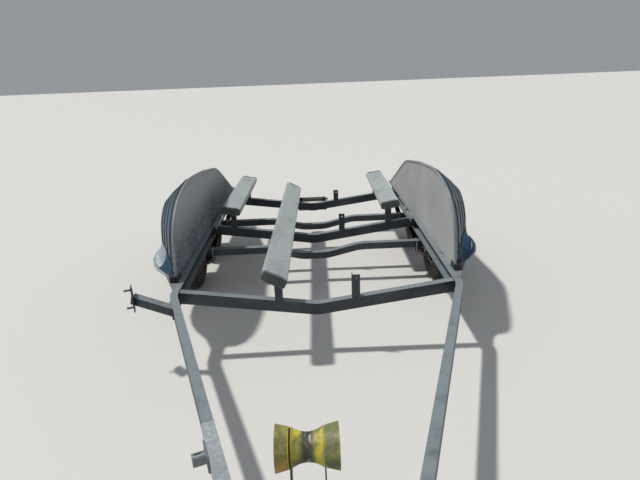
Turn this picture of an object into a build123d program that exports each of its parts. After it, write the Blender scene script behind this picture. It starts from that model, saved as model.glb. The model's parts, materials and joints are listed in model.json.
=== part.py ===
from build123d import *
import os
from math import asin, atan, cos, degrees, radians, sin

# A two-axle boat trailer, empty, parked level on its four wheels and its tongue jack.
# X is across, +Y runs from the hitch to the tail, +Z is up, and the ground is at zero.

os.makedirs("parts", exist_ok=True)

SIDES = (("left", -1), ("right", 1))

# The stack from the ground up to the rails: wheel, axle, spring seat, spring and rail
WHEEL_R = 300.0
AXLE_SIZE = 56.0
SEAT_T = 6.0
SEAT_GAP = 0.9              # between a seat and the crown of the curved main leaf under it
LEAF_T = 8.0
CAMBER = 55.9               # how far the main leaf's ends rise above its middle
EYE_R = 16.0
EYE_DROP = 40.0             # from the underside of a rail down to the spring eyes
RAIL_DEPTH = 96.0
MAIN_TOP = WHEEL_R - AXLE_SIZE / 2 - SEAT_T - SEAT_GAP
EYE_Z = MAIN_TOP + CAMBER + EYE_R - LEAF_T
RAIL_TOP = EYE_Z + EYE_DROP + RAIL_DEPTH

# Frame
FRONT_REACH = 2600.0        # from the bend of the side rails to the nose of the coupler
REAR_REACH = 2850.0         # from the bend to the tail end of the rails
BEND_Y = (FRONT_REACH - REAR_REACH) / 2
RAIL_FLANGE = 45.0
FLANGE_T = 8.0
WEB_T = 6.0
BEND_HALF = 900.0           # half the width over the rails at the bend
TAIL_FLARE = 0.0157         # the rails spread this much for each unit behind the bend
TONGUE_SLOPE = 0.3758       # and close this much for each unit ahead of it
TIP_HALF = 52.0             # half the width over the rails at the tip of the tongue
BEND_R = 250.0              # radius of the rails' outer edge at the bend
FIT = 0.3                   # gap left between curved faces of pieces that meet

# Crossmembers, V shaped so that the keel hangs clear of them
CROSS_GAP = 4.0             # left between a crossmember and the lower flange of a rail
CROSS_DEPTH = RAIL_DEPTH - 2 * FLANGE_T - CROSS_GAP
CROSS_WIDTH = 50.0
CROSS_BEND = 220.0

# Axles, springs and wheels
AXLE_Y = (1172.0, 1966.0)   # behind the bend
AXLE_HALF = BEND_HALF + 30.0
AXLE_DROP = 66.0
DROP_OUTER = 380.0
DROP_INNER = 105.0
TYRE_WIDTH = 160.0
TYRE_GAP = 70.0             # from the bend of a rail out to the tyres
TRACK_HALF = BEND_HALF + TYRE_GAP + TYRE_WIDTH / 2
SPINDLE_R = 19.0
RUNNING_FIT = 0.05
SPRING_X = BEND_HALF - 5.0
SPRING_WIDTH = 45.0
EYE_REACH = 320.0
PIN_R = 8.0

# Fenders
WALL_X = BEND_HALF + 2.0
WALL_T = 6.0
SHELL_X = TRACK_HALF + TYRE_WIDTH / 2 + 20.0
SHELL_T = 5.0
STEP_X = SHELL_X + 55.0
PLATE_T = 8.0
PLATE_END = AXLE_Y[0] - WHEEL_R + 13.0      # the plate stops here, clear of the front tyre

# Bunks
BUNK_WIDTH = 160.0
BUNK_T = 65.0
POST_WIDTH = 50.0
POST_T = 6.0


def back(distance):
    """The row position of a point this far behind the bend of the rails."""
    return BEND_Y + distance


def rail_outer(y):
    """Half the width over the rails at a row position."""
    behind = y - BEND_Y
    return BEND_HALF + behind * (TAIL_FLARE if behind > 0 else TONGUE_SLOPE)


TIP_Y = BEND_Y - (BEND_HALF - TIP_HALF) / TONGUE_SLOPE
TAIL_Y = back(REAR_REACH)


def rail_band(side, width):
    """A strip in plan along a rail's outer edge, width wide towards the middle."""
    points = [(side * rail_outer(y), y) for y in (TIP_Y, BEND_Y, TAIL_Y)]
    with BuildSketch() as band:
        with BuildLine():
            FilletPolyline(*points, radius=BEND_R)
            offset(amount=width, side=Side.LEFT if side > 0 else Side.RIGHT)
        make_face()
    return band.sketch


def v_outline(half, inner, top, drop, depth):
    """The face of a V crossmember, level where it runs into the rails, in a plane across."""
    with BuildSketch() as outline:
        with BuildLine():
            Polyline((-half, top), (-inner, top), (0, top - drop), (inner, top), (half, top),
                     (half, top - depth), (inner, top - depth), (0, top - drop - depth),
                     (-inner, top - depth), (-half, top - depth), close=True)
        make_face()
        middle = outline.vertices().group_by(lambda v: abs(v.X))[0]
        fillet(middle, CROSS_BEND)
    return outline.sketch


def across(y):
    """The upright plane across the trailer at a row position, seen from the hitch end."""
    return Plane(origin=(0, y, 0), x_dir=(1, 0, 0), z_dir=(0, -1, 0))


# Side rails: a channel section that opens inwards, bent once into the tongue
for name, side in SIDES:
    with BuildPart() as rail:
        with BuildSketch(Plane.XY.offset(RAIL_TOP - RAIL_DEPTH)):
            add(rail_band(side, RAIL_FLANGE))
        extrude(amount=FLANGE_T)
        with BuildSketch(Plane.XY.offset(RAIL_TOP - FLANGE_T)):
            add(rail_band(side, RAIL_FLANGE))
        extrude(amount=FLANGE_T)
        with BuildSketch(Plane.XY.offset(RAIL_TOP - RAIL_DEPTH)):
            add(rail_band(side, WEB_T))
        extrude(amount=RAIL_DEPTH)
    rail.part.label = name + "_frame_rail"
    export_step(rail.part, "parts/" + name + "_frame_rail.step")

# Crossmembers that carry the bunks: name, distance behind the bend, drop at the middle
CROSSMEMBERS = (
    ("front_crossmember", 75.0, 120.0),
    ("middle_crossmember", 1420.0, 125.0),
    ("rear_crossmember", 2450.0, 120.0),
)
CROSS_TOP = RAIL_TOP - FLANGE_T

for name, distance, drop in CROSSMEMBERS:
    front_y = back(distance) - CROSS_WIDTH / 2
    half = rail_outer(front_y) - WEB_T
    inner = rail_outer(front_y) - RAIL_FLANGE
    with BuildPart() as crossmember:
        with BuildSketch(across(front_y)):
            add(v_outline(half, inner, CROSS_TOP, drop, CROSS_DEPTH))
        extrude(amount=-CROSS_WIDTH)
    crossmember.part.label = name
    export_step(crossmember.part, "parts/" + name + ".step")


def cross_plane(distance, drop, side):
    """The plane of one sloping half of a crossmember's top, looking up."""
    y = back(distance) - CROSS_WIDTH / 2
    return Plane(origin=(0, y, CROSS_TOP - drop), z_dir=(-side * drop, 0, rail_outer(y) - RAIL_FLANGE))


# Tongue: a sleeve over the left rail, a stub for a side jack, and the plate under the coupler
TONGUE_ANGLE = atan(TONGUE_SLOPE)
SLEEVE_T = 5.0
SLEEVE_START = -1750.0
SLEEVE_END = -1155.0


def tongue_plane(side, distance, height):
    """An upright plane at right angles to a tongue rail, on its outer face.

    Its X points out from the rail, its Y up, and its Z along the rail."""
    y = back(distance)
    outward = Vector(side * cos(TONGUE_ANGLE), -sin(TONGUE_ANGLE), 0)
    along = outward.cross(Vector(0, 0, 1))
    return Plane(origin=(side * rail_outer(y), y, height), x_dir=outward, z_dir=along)


with BuildPart() as sleeve:
    length = (SLEEVE_END - SLEEVE_START) / cos(TONGUE_ANGLE)
    with BuildSketch(tongue_plane(-1, SLEEVE_START, RAIL_TOP)):
        with Locations((-RAIL_FLANGE / 2 + SLEEVE_T / 2, SLEEVE_T / 2)):
            Rectangle(RAIL_FLANGE + SLEEVE_T, SLEEVE_T)
        with Locations((SLEEVE_T / 2, -RAIL_DEPTH / 2)):
            Rectangle(SLEEVE_T, RAIL_DEPTH)
        with Locations((-RAIL_FLANGE / 2 + SLEEVE_T / 2, -RAIL_DEPTH - SLEEVE_T / 2)):
            Rectangle(RAIL_FLANGE + SLEEVE_T, SLEEVE_T)
    extrude(amount=length)
sleeve.part.label = "tongue_sleeve"
export_step(sleeve.part, "parts/tongue_sleeve.step")

STUB_Y = -1266.0
STUB_R = 24.5
STUB_LENGTH = 48.0
STUB_FLANGE = (76.0, 90.0, 8.0)

with BuildPart() as stub:
    stub_face = tongue_plane(-1, STUB_Y, RAIL_TOP - RAIL_DEPTH / 2)
    stub_plane = Plane(origin=stub_face.origin + stub_face.x_dir * SLEEVE_T, x_dir=(0, 0, 1), z_dir=stub_face.x_dir)
    with BuildSketch(stub_plane):
        Rectangle(STUB_FLANGE[0], STUB_FLANGE[1])
    extrude(amount=STUB_FLANGE[2])
    with BuildSketch(stub_plane.offset(STUB_FLANGE[2])):
        Circle(STUB_R)
        Circle(STUB_R - 6, mode=Mode.SUBTRACT)
    extrude(amount=STUB_LENGTH)
stub.part.label = "side_jack_stub"
export_step(stub.part, "parts/side_jack_stub.step")

# Axles: square tubes bent down in the middle, with a spring seat and a spindle at each end
AXLES = (("front_axle", AXLE_Y[0]), ("rear_axle", AXLE_Y[1]))
AXLE_BEND = 400.0
SEAT_SIZE = (60.0, 80.0)
SPINDLE_END = 15.0          # how far a spindle reaches past the middle of its tyre

for name, distance in AXLES:
    y = back(distance)
    top = WHEEL_R + AXLE_SIZE / 2
    low = top - AXLE_SIZE
    with BuildPart() as axle:
        with BuildSketch(across(y - AXLE_SIZE / 2)) as tube:
            with BuildLine():
                Polyline((-AXLE_HALF, top), (-DROP_OUTER, top), (-DROP_INNER, top - AXLE_DROP),
                         (DROP_INNER, top - AXLE_DROP), (DROP_OUTER, top), (AXLE_HALF, top),
                         (AXLE_HALF, low), (DROP_OUTER, low), (DROP_INNER, low - AXLE_DROP),
                         (-DROP_INNER, low - AXLE_DROP), (-DROP_OUTER, low), (-AXLE_HALF, low), close=True)
            make_face()
            bends = [v for v in tube.vertices() if abs(v.X) < AXLE_HALF - 1]
            fillet(bends, AXLE_BEND)
        extrude(amount=-AXLE_SIZE)
        for side in (-1, 1):
            with Locations((side * SPRING_X, y, low - SEAT_T / 2)):
                Box(*SEAT_SIZE, SEAT_T)
            with BuildSketch(Plane(origin=(side * AXLE_HALF, y, WHEEL_R), z_dir=(side, 0, 0))):
                Circle(SPINDLE_R)
            extrude(amount=TRACK_HALF + SPINDLE_END - AXLE_HALF)
    axle.part.label = name
    export_step(axle.part, "parts/" + name + ".step")

# Leaf springs, with the equalizer that rocks between them
LEAVES = (640.0, 500.0, 370.0, 240.0)       # length of each leaf, the main one first
CAMBER_R = (EYE_REACH ** 2 + CAMBER ** 2) / (2 * CAMBER)
MIDDLE_Y = sum(AXLE_Y) / 2
LINK_T = 6.0
LINK_GAP = 1.0
HANGER_WIDTH = 52.0


def on_side(x):
    """An upright plane along the trailer: its X is the row's Y, and its Y the row's Z."""
    return Plane(origin=(x, 0, 0), x_dir=(0, 1, 0), z_dir=(1, 0, 0))


for name, side in SIDES:
    spring_start = side * SPRING_X - SPRING_WIDTH / 2
    with BuildPart() as springs:
        for distance in AXLE_Y:
            y = back(distance)
            for count, length in enumerate(LEAVES):
                half_turn = degrees(asin(length / 2 / CAMBER_R))
                with BuildSketch(on_side(spring_start)):
                    with BuildLine():
                        inner = CenterArc((y, MAIN_TOP + CAMBER_R), CAMBER_R + count * LEAF_T,
                                          270 - half_turn, 2 * half_turn)
                        outer = CenterArc((y, MAIN_TOP + CAMBER_R), CAMBER_R + (count + 1) * LEAF_T,
                                          270 - half_turn, 2 * half_turn)
                        Line(inner @ 0, outer @ 0)
                        Line(inner @ 1, outer @ 1)
                    make_face()
                extrude(amount=SPRING_WIDTH)
            with BuildSketch(on_side(spring_start)):
                with Locations((y - EYE_REACH, EYE_Z), (y + EYE_REACH, EYE_Z)):
                    Circle(EYE_R)
            extrude(amount=SPRING_WIDTH)
            with BuildSketch(on_side(spring_start)):
                with Locations((y - EYE_REACH, EYE_Z), (y + EYE_REACH, EYE_Z)):
                    Circle(PIN_R + FIT)
            extrude(amount=SPRING_WIDTH, mode=Mode.SUBTRACT)
        link_half = SPRING_WIDTH / 2 + LINK_GAP
        eyes = (back(AXLE_Y[0]) + EYE_REACH, back(AXLE_Y[1]) - EYE_REACH)
        middle = (back(MIDDLE_Y), EYE_Z)
        for start in (side * SPRING_X - link_half - LINK_T, side * SPRING_X + link_half):
            with BuildSketch(on_side(start)):
                with Locations(middle):
                    SlotCenterToCenter(eyes[1] - eyes[0], 2 * EYE_R)
            extrude(amount=LINK_T)
        with BuildSketch(on_side(side * SPRING_X - link_half)):
            with Locations(middle):
                Circle(EYE_R)
            with Locations(*((eye, EYE_Z) for eye in eyes)):
                Circle(PIN_R)
        extrude(amount=2 * link_half)
        with BuildSketch(on_side(side * SPRING_X - link_half - LINK_T)):
            with Locations(middle):
                Circle(PIN_R + FIT)
        extrude(amount=2 * (link_half + LINK_T), mode=Mode.SUBTRACT)
    springs.part.label = name + "_leaf_springs"
    export_step(springs.part, "parts/" + name + "_leaf_springs.step")

    # Hangers: distance behind the bend, and the room between the two plates of each
    hangers_at = (
        (AXLE_Y[0] - EYE_REACH, 2 * link_half),
        (MIDDLE_Y, 2 * (link_half + LINK_T + LINK_GAP)),
        (AXLE_Y[1] + EYE_REACH, 2 * link_half),
    )
    rail_low = RAIL_TOP - RAIL_DEPTH
    with BuildPart() as hangers:
        for distance, room in hangers_at:
            y = back(distance)
            with Locations((side * SPRING_X, y, rail_low - LINK_T / 2)):
                Box(room + 2 * LINK_T, HANGER_WIDTH, LINK_T)
            for start in (side * SPRING_X - room / 2 - LINK_T, side * SPRING_X + room / 2):
                with BuildSketch(on_side(start)):
                    with BuildLine():
                        Polyline((y - HANGER_WIDTH / 2, rail_low), (y + HANGER_WIDTH / 2, rail_low),
                                 (y + EYE_R, EYE_Z - EYE_R), (y - EYE_R, EYE_Z - EYE_R), close=True)
                    make_face()
                extrude(amount=LINK_T)
            with BuildSketch(on_side(side * SPRING_X - room / 2)):
                with Locations((y, EYE_Z)):
                    Circle(PIN_R)
            extrude(amount=room)
    hangers.part.label = name + "_spring_hangers"
    export_step(hangers.part, "parts/" + name + "_spring_hangers.step")

# Wheels. Each outline is radius, then distance from the tyre's middle, outwards positive
RIM = ((178, -62), (178, -57), (166, -54), (164, -38), (147, -28), (147, 6), (164, 18), (166, 54), (178, 57),
       (178, 62), (173, 62), (161, 59), (159, 22), (142, 10), (142, -32), (159, -42), (161, -59), (173, -62))
DISC = ((36, -4), (36, 2), (80, 2), (98, 14), (124, 14), (143, 2), (143, -4), (122, 8), (100, 8), (82, -4))
HUB_BORE = SPINDLE_R + RUNNING_FIT
HUB = ((HUB_BORE, -75), (32, -75), (32, -30), (70, -22), (70, -4), (38, -4), (38, 30), (30, 46), (0, 46),
       (0, SPINDLE_END + 3), (HUB_BORE, SPINDLE_END + 3))
WINDOWS = 8
WINDOW_R = 9.0
WINDOW_CIRCLE = 111.0
BEAD_R = 166.0 + FIT        # the rim's seat for the tyre's bead, and the gap to it
TYRE_HALF = TYRE_WIDTH / 2
BULGE_R = WHEEL_R - 70.0    # where the tyre is widest
SHOULDER_R = WHEEL_R - 20.0
SHOULDER_HALF = TYRE_HALF - 7.0
TREAD_HALF = TYRE_HALF - 26.0

for side_name, side in SIDES:
    for place, distance in zip(("front", "rear"), AXLE_Y):
        centre = (side * TRACK_HALF, back(distance), WHEEL_R)
        radial = Plane(origin=centre, x_dir=(0, 0, 1), z_dir=(0, side, 0))
        axle_line = Axis(centre, (1, 0, 0))
        node = side_name + "_" + place
        with BuildPart() as wheel:
            for outline in (RIM, DISC, HUB):
                with BuildSketch(radial):
                    with BuildLine():
                        Polyline(*outline, close=True)
                    make_face()
                revolve(axis=axle_line)
            with BuildSketch(Plane(origin=centre, z_dir=(side, 0, 0))):
                with PolarLocations(WINDOW_CIRCLE, WINDOWS):
                    Circle(WINDOW_R)
            extrude(amount=40, mode=Mode.SUBTRACT)
        wheel.part.label = node + "_wheel"
        export_step(wheel.part, "parts/" + node + "_wheel.step")

        with BuildPart() as tyre:
            with BuildSketch(radial):
                with BuildLine():
                    Polyline((179.5, 65), (179, 56), (BEAD_R, 53), (BEAD_R, -53), (179, -56), (179.5, -65))
                    ThreePointArc((179.5, -65), (BULGE_R, -TYRE_HALF), (SHOULDER_R, -SHOULDER_HALF))
                    ThreePointArc((SHOULDER_R, -SHOULDER_HALF), (WHEEL_R - 6, -TREAD_HALF - 13), (WHEEL_R, -TREAD_HALF))
                    Line((WHEEL_R, -TREAD_HALF), (WHEEL_R, TREAD_HALF))
                    ThreePointArc((WHEEL_R, TREAD_HALF), (WHEEL_R - 6, TREAD_HALF + 13), (SHOULDER_R, SHOULDER_HALF))
                    ThreePointArc((SHOULDER_R, SHOULDER_HALF), (BULGE_R, TYRE_HALF), (179.5, 65))
                make_face()
            revolve(axis=axle_line)
        tyre.part.label = node + "_tyre"
        export_step(tyre.part, "parts/" + node + "_tyre.step")

# Fenders. Corners are distance behind the bend, height above the rails, and corner radius
WALL_CORNERS = ((195.0, 0.0, 0.0), (262.0, 330.0, 320.0), (430.0, 460.0, 400.0), (760.0, 547.0, 1200.0),
                (1300.0, 500.0, 3000.0), (1885.0, 412.0, 900.0), (2760.0, 0.0, 0.0))
CROWN_CORNERS = ((265.0, 0.0, 0.0), (335.0, 300.0, 320.0), (490.0, 440.0, 400.0), (790.0, 525.0, 1050.0),
                 (1310.0, 480.0, 3000.0), (1895.0, 392.0, 900.0), (2735.0, 0.0, 0.0))
RIDGE_CORNERS = ((750.0, 0.0, 0.0), (800.0, 225.0, 220.0), (950.0, 335.0, 260.0), (1250.0, 352.0, 1500.0),
                 (1700.0, 315.0, 1500.0), (2080.0, 225.0, 600.0), (2560.0, 0.0, 0.0))
CROWN_X = WALL_X + 48.0
FRONT_TOPS = 2              # how many corners belong to the front face, which the shell's wall also sets back
UNDERCUT = 40.0             # how far the hollow of a fender is cut below its lower edge


def fender_outline(corners, inset=0.0):
    """The outline of a fender at one distance from the middle, its X the row's Y."""
    (front, _, _), *tops, (rear, _, _) = corners
    low = RAIL_TOP - (UNDERCUT if inset else 0)
    shifts = [inset] * FRONT_TOPS + [0.0] * (len(tops) - FRONT_TOPS)
    tops = [(back(d + s), RAIL_TOP + h - inset, r) for (d, h, r), s in zip(tops, shifts)]
    with BuildSketch() as outline:
        with BuildLine():
            Polyline((back(front + inset), low), *((y, z) for y, z, _ in tops), (back(rear - inset), low), close=True)
        make_face()
        for y, z, radius in tops:
            corner = outline.vertices().sort_by_distance((y, z))[0]
            fillet(corner, radius)
    return outline.sketch


# Fender shells: distance from the middle and corners of each section, from the wall outwards
SHELL_SECTIONS = ((WALL_X + WALL_T, WALL_CORNERS), (CROWN_X, CROWN_CORNERS), (SHELL_X, RIDGE_CORNERS))
HOLLOW_SECTIONS = ((WALL_X, WALL_CORNERS), (CROWN_X, CROWN_CORNERS), (SHELL_X - SHELL_T, RIDGE_CORNERS))

for name, side in SIDES:
    with BuildPart() as panel:
        with BuildSketch(on_side(side * (WALL_X + WALL_T / 2) - WALL_T / 2)):
            add(fender_outline(WALL_CORNERS))
        extrude(amount=WALL_T)
    panel.part.label = name + "_fender_panel"
    export_step(panel.part, "parts/" + name + "_fender_panel.step")

    with BuildPart() as shell:
        for x, corners in SHELL_SECTIONS:
            with BuildSketch(on_side(side * x)):
                add(fender_outline(corners))
        loft(ruled=True)
        for x, corners in HOLLOW_SECTIONS:
            with BuildSketch(on_side(side * x)):
                add(fender_outline(corners, SHELL_T))
        loft(ruled=True, mode=Mode.SUBTRACT)
    shell.part.label = name + "_fender_shell"
    export_step(shell.part, "parts/" + name + "_fender_shell.step")

    # The plate under the front of the fender, welded to the rail at its bend
    plate_points = [(rail_outer(back(75.0)), back(75.0)), (STEP_X - 195, back(318.0)), (STEP_X - 110, back(420.0)),
                    (STEP_X - 55, back(520.0)), (STEP_X - 15, back(640.0)), (STEP_X, back(PLATE_END - 125)),
                    (STEP_X, back(PLATE_END - 50)), (STEP_X - 30, back(PLATE_END)),
                    (rail_outer(back(PLATE_END)), back(PLATE_END))]
    with BuildPart() as plate:
        with BuildSketch(Plane.XY.offset(RAIL_TOP - PLATE_T)):
            with BuildLine():
                Polyline(*((side * x, y) for x, y in plate_points), close=True)
            make_face()
        extrude(amount=PLATE_T)
    plate.part.label = name + "_fender_plate"
    export_step(plate.part, "parts/" + name + "_fender_plate.step")

# Bunks: boards along the trailer, each rolled so that its inner edge is the lower one.
# Columns: name, x at the front, x at the tail, distance of each end, height of each end, roll
BUNKS = (
    ("centre_bunk", -243.0, -190.0, -35.0, 2530.0, 121.0, 71.0, 27.0),
    ("left_bunk", -702.0, -690.0, 1330.0, 2640.0, 172.0, 160.0, 10.0),
    ("right_bunk", 660.0, 690.0, 1330.0, 2640.0, 172.0, 160.0, -10.0),
)
BUNK_ROUND = 10.0


def bunk_plane(row):
    """The plane of a bunk's front end: its X across the board, its Y out of the top face."""
    _, front_x, tail_x, front, tail, front_top, tail_top, roll = row
    start = Vector(front_x, back(front), RAIL_TOP + front_top)
    end = Vector(tail_x, back(tail), RAIL_TOP + tail_top)
    run = (end - start).normalized()
    level = run.cross(Vector(0, 0, 1)).normalized()
    across_board = level.rotate(Axis((0, 0, 0), run), roll)
    return Plane(origin=start, x_dir=across_board, z_dir=run), (end - start).length


for row in BUNKS:
    end_plane, length = bunk_plane(row)
    with BuildPart() as bunk:
        with BuildSketch(end_plane):
            with Locations((0, BUNK_T / 2)):
                RectangleRounded(BUNK_WIDTH, BUNK_T, BUNK_ROUND)
        extrude(amount=length)
    bunk.part.label = row[0]
    export_step(bunk.part, "parts/" + row[0] + ".step")

# Posts: angles that stand on the crossmembers, flush with their front faces
POST_LEG = 40.0
BOLT_R = 5.5                # hole for a bunk's bolt in a bare post
BOLT_DROP = 26.0            # how far that hole is below the post's top


def post_at(member, x, top_plane):
    """One angle post on a crossmember, cut off square to the plane its top meets."""
    distance, drop = STATIONS[member]
    face_y = back(distance) - CROSS_WIDTH / 2
    low = CROSS_TOP - drop - CROSS_DEPTH
    high = RAIL_TOP + 300
    with BuildPart() as post:
        with Locations((x, face_y + POST_T / 2, (low + high) / 2)):
            Box(POST_WIDTH, POST_T, high - low)
        with Locations((x - POST_WIDTH / 2 + POST_T / 2, face_y + POST_LEG / 2, (low + high) / 2)):
            Box(POST_T, POST_LEG, high - low)
        split(bisect_by=top_plane, keep=Keep.BOTTOM)
        split(bisect_by=cross_plane(distance, drop, 1 if x > 0 else -1), keep=Keep.TOP)
    return post.part


def bunk_x(row, distance):
    """Where the middle of a bunk is above a station."""
    _, front_x, tail_x, front, tail, *_ = row
    return front_x + (tail_x - front_x) * (distance - front) / (tail - front)


CENTRE_BUNK, LEFT_BUNK, RIGHT_BUNK = BUNKS
STATIONS = {name: (distance, drop) for name, distance, drop in CROSSMEMBERS}
# Columns: node, bunk on these posts, the crossmembers they stand on
POST_SETS = (
    ("centre_bunk_posts", CENTRE_BUNK, ("front_crossmember", "middle_crossmember", "rear_crossmember")),
    ("left_bunk_posts", LEFT_BUNK, ("middle_crossmember", "rear_crossmember")),
    ("right_bunk_posts", RIGHT_BUNK, ("middle_crossmember", "rear_crossmember")),
)

for name, row, members in POST_SETS:
    end_plane, _ = bunk_plane(row)
    underside = Plane(origin=end_plane.origin + end_plane.y_dir * BUNK_T, x_dir=end_plane.x_dir,
                      z_dir=-end_plane.y_dir)
    with BuildPart() as posts:
        for member in members:
            add(post_at(member, bunk_x(row, STATIONS[member][0]), underside))
    posts.part.label = name
    export_step(posts.part, "parts/" + name + ".step")

# The bare posts of the bunk that is missing: crossmember, x, top above the rails
BARE_POSTS = (
    ("front_crossmember", 243.0, 62.0),
    ("middle_crossmember", 249.0, 55.0),
    ("rear_crossmember", 256.0, 18.0),
)

with BuildPart() as bare_posts:
    for member, x, top in BARE_POSTS:
        add(post_at(member, x, Plane.XY.offset(RAIL_TOP + top)))
        with BuildSketch(across(back(STATIONS[member][0]) - CROSS_WIDTH / 2)):
            with Locations((x + POST_T / 2, RAIL_TOP + top - BOLT_DROP)):
                Circle(BOLT_R)
        extrude(amount=-POST_T, mode=Mode.SUBTRACT)
bare_posts.part.label = "bare_bunk_posts"
export_step(bare_posts.part, "parts/bare_bunk_posts.step")

# Keel roller on the rear crossmember
KEEL_R = 24.0
KEEL_LENGTH = 280.0
KEEL_Z = RAIL_TOP - 65.0
KEEL_PIN_R = 8.0
EAR_T = 6.0
EAR_GAP = 5.0
keel_y = back(STATIONS["rear_crossmember"][0]) - CROSS_WIDTH / 2 - KEEL_R - 8

with BuildPart() as keel_roller:
    with BuildSketch(Plane(origin=(-KEEL_LENGTH / 2, keel_y, KEEL_Z), z_dir=(1, 0, 0))):
        Circle(KEEL_R)
    extrude(amount=KEEL_LENGTH)
    with BuildSketch(Plane(origin=(-KEEL_LENGTH / 2, keel_y, KEEL_Z), z_dir=(1, 0, 0))):
        Circle(KEEL_PIN_R + RUNNING_FIT)
    extrude(amount=KEEL_LENGTH, mode=Mode.SUBTRACT)
keel_roller.part.label = "keel_roller"
export_step(keel_roller.part, "parts/keel_roller.step")

with BuildPart() as keel_bracket:
    ear_x = KEEL_LENGTH / 2 + EAR_GAP
    rear_distance, rear_drop = STATIONS["rear_crossmember"]
    member_face = back(rear_distance) - CROSS_WIDTH / 2
    foot_top = RAIL_TOP - FLANGE_T - rear_drop + 10
    foot_low = foot_top - CROSS_DEPTH
    with Locations((0, member_face - EAR_T / 2, (foot_top + foot_low) / 2)):
        Box(2 * (ear_x + EAR_T), EAR_T, foot_top - foot_low)
    for start in (-ear_x - EAR_T, ear_x):
        with BuildSketch(on_side(start)):
            with BuildLine():
                Polyline((member_face, foot_low), (member_face, foot_top), (keel_y + 18, KEEL_Z + 10),
                         (keel_y, KEEL_Z + 18), (keel_y - 18, KEEL_Z + 10), (keel_y - 18, KEEL_Z - 14),
                         (member_face - EAR_T - 4, foot_low), close=True)
            make_face()
        extrude(amount=EAR_T)
    with BuildSketch(on_side(-ear_x)):
        with Locations((keel_y, KEEL_Z)):
            Circle(KEEL_PIN_R)
    extrude(amount=2 * ear_x)
keel_bracket.part.label = "keel_roller_bracket"
export_step(keel_bracket.part, "parts/keel_roller_bracket.step")

# Winch stand on the tongue, the winch, and the roller that the bow rests on
STAND_X = -42.0             # the stand, winch and bow roller are left of the middle
STAND_Y = -1950.0
STAND_PLATE = (120.0, 8.0)
POST_SIZE = 70.0
POST_WALL = 5.0
STAND_TOP = RAIL_TOP + 360.0
HEAD = (110.0, 130.0, 6.0)
BOW_Y = -1835.0
BOW_Z = RAIL_TOP + 500.0
BOW_LENGTH = 138.0
BOW_END_R = 50.0
BOW_SEAM_R = 42.0
BOW_WAIST_R = 31.0
SPOOL_LENGTH = 70.0
ARM_T = 3.0
ARM_GAP = 0.8
BOW_PIN_R = 8.0

with BuildPart() as stand:
    y = back(STAND_Y)
    half = rail_outer(y - STAND_PLATE[0] / 2)
    with Locations((0, y, RAIL_TOP + STAND_PLATE[1] / 2)):
        Box(2 * half, *STAND_PLATE)
    with BuildSketch(Plane.XY.offset(RAIL_TOP + STAND_PLATE[1])):
        with Locations((STAND_X, y)):
            Rectangle(POST_SIZE, POST_SIZE)
            Rectangle(POST_SIZE - 2 * POST_WALL, POST_SIZE - 2 * POST_WALL, mode=Mode.SUBTRACT)
    extrude(amount=STAND_TOP - RAIL_TOP - STAND_PLATE[1])
    with Locations((STAND_X, y + (POST_SIZE - HEAD[1]) / 2, STAND_TOP + HEAD[2] / 2)):
        Box(*HEAD)
stand.part.label = "winch_stand"
export_step(stand.part, "parts/winch_stand.step")

ARM_X = SPOOL_LENGTH / 2 + ARM_GAP
BELL_X = ARM_X + ARM_T + ARM_GAP

with BuildPart() as bow_roller:
    bow_axis = Axis((STAND_X, back(BOW_Y), BOW_Z), (1, 0, 0))
    bow_plane = Plane(origin=(STAND_X, back(BOW_Y), BOW_Z), x_dir=(1, 0, 0), z_dir=(0, -1, 0))
    spool_half = SPOOL_LENGTH / 2
    with BuildSketch(bow_plane):
        with BuildLine():
            Polyline((spool_half, BOW_SEAM_R), (spool_half, 0), (-spool_half, 0), (-spool_half, BOW_SEAM_R))
            ThreePointArc((-spool_half, BOW_SEAM_R), (0, BOW_WAIST_R), (spool_half, BOW_SEAM_R))
        make_face()
        with BuildLine():
            Polyline((BELL_X, BOW_SEAM_R + 1), (BELL_X, 0), (BOW_LENGTH / 2, 0), (BOW_LENGTH / 2, BOW_END_R), close=True)
        make_face()
        with BuildLine():
            Polyline((-BELL_X, BOW_SEAM_R + 1), (-BELL_X, 0), (-BOW_LENGTH / 2, 0), (-BOW_LENGTH / 2, BOW_END_R),
                     close=True)
        make_face()
        Rectangle(2 * BELL_X, 2 * BOW_PIN_R)
        with Locations((0, -BOW_PIN_R)):
            Rectangle(BOW_LENGTH, 2 * BOW_PIN_R, mode=Mode.SUBTRACT)
    revolve(axis=bow_axis)
bow_roller.part.label = "bow_roller"
export_step(bow_roller.part, "parts/bow_roller.step")

with BuildPart() as arms:
    post_rear = back(STAND_Y) + POST_SIZE / 2
    for start in (-ARM_X - ARM_T, ARM_X):
        with BuildSketch(on_side(STAND_X + start)):
            with BuildLine():
                Polyline((post_rear, BOW_Z - 260), (post_rear, BOW_Z - 155), (back(BOW_Y) - 16, BOW_Z), (back(BOW_Y), BOW_Z + 16),
                         (back(BOW_Y) + 16, BOW_Z), (back(BOW_Y) + 12, BOW_Z - 60), close=True)
            make_face()
            with Locations((back(BOW_Y), BOW_Z)):
                Circle(BOW_PIN_R + RUNNING_FIT, mode=Mode.SUBTRACT)
        extrude(amount=ARM_T)
    with Locations((STAND_X, post_rear + 3, BOW_Z - 208)):
        Box(2 * ARM_X, 6, 100)
arms.part.label = "bow_roller_bracket"
export_step(arms.part, "parts/bow_roller_bracket.step")

WINCH_Y = -1985.0
WINCH_Z = STAND_TOP + HEAD[2]
DRUM_Z = WINCH_Z + 48
DRUM_LENGTH = 64.0
WINCH_SHAFT_R = 8.0
CHEEK_T = 4.0

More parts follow.
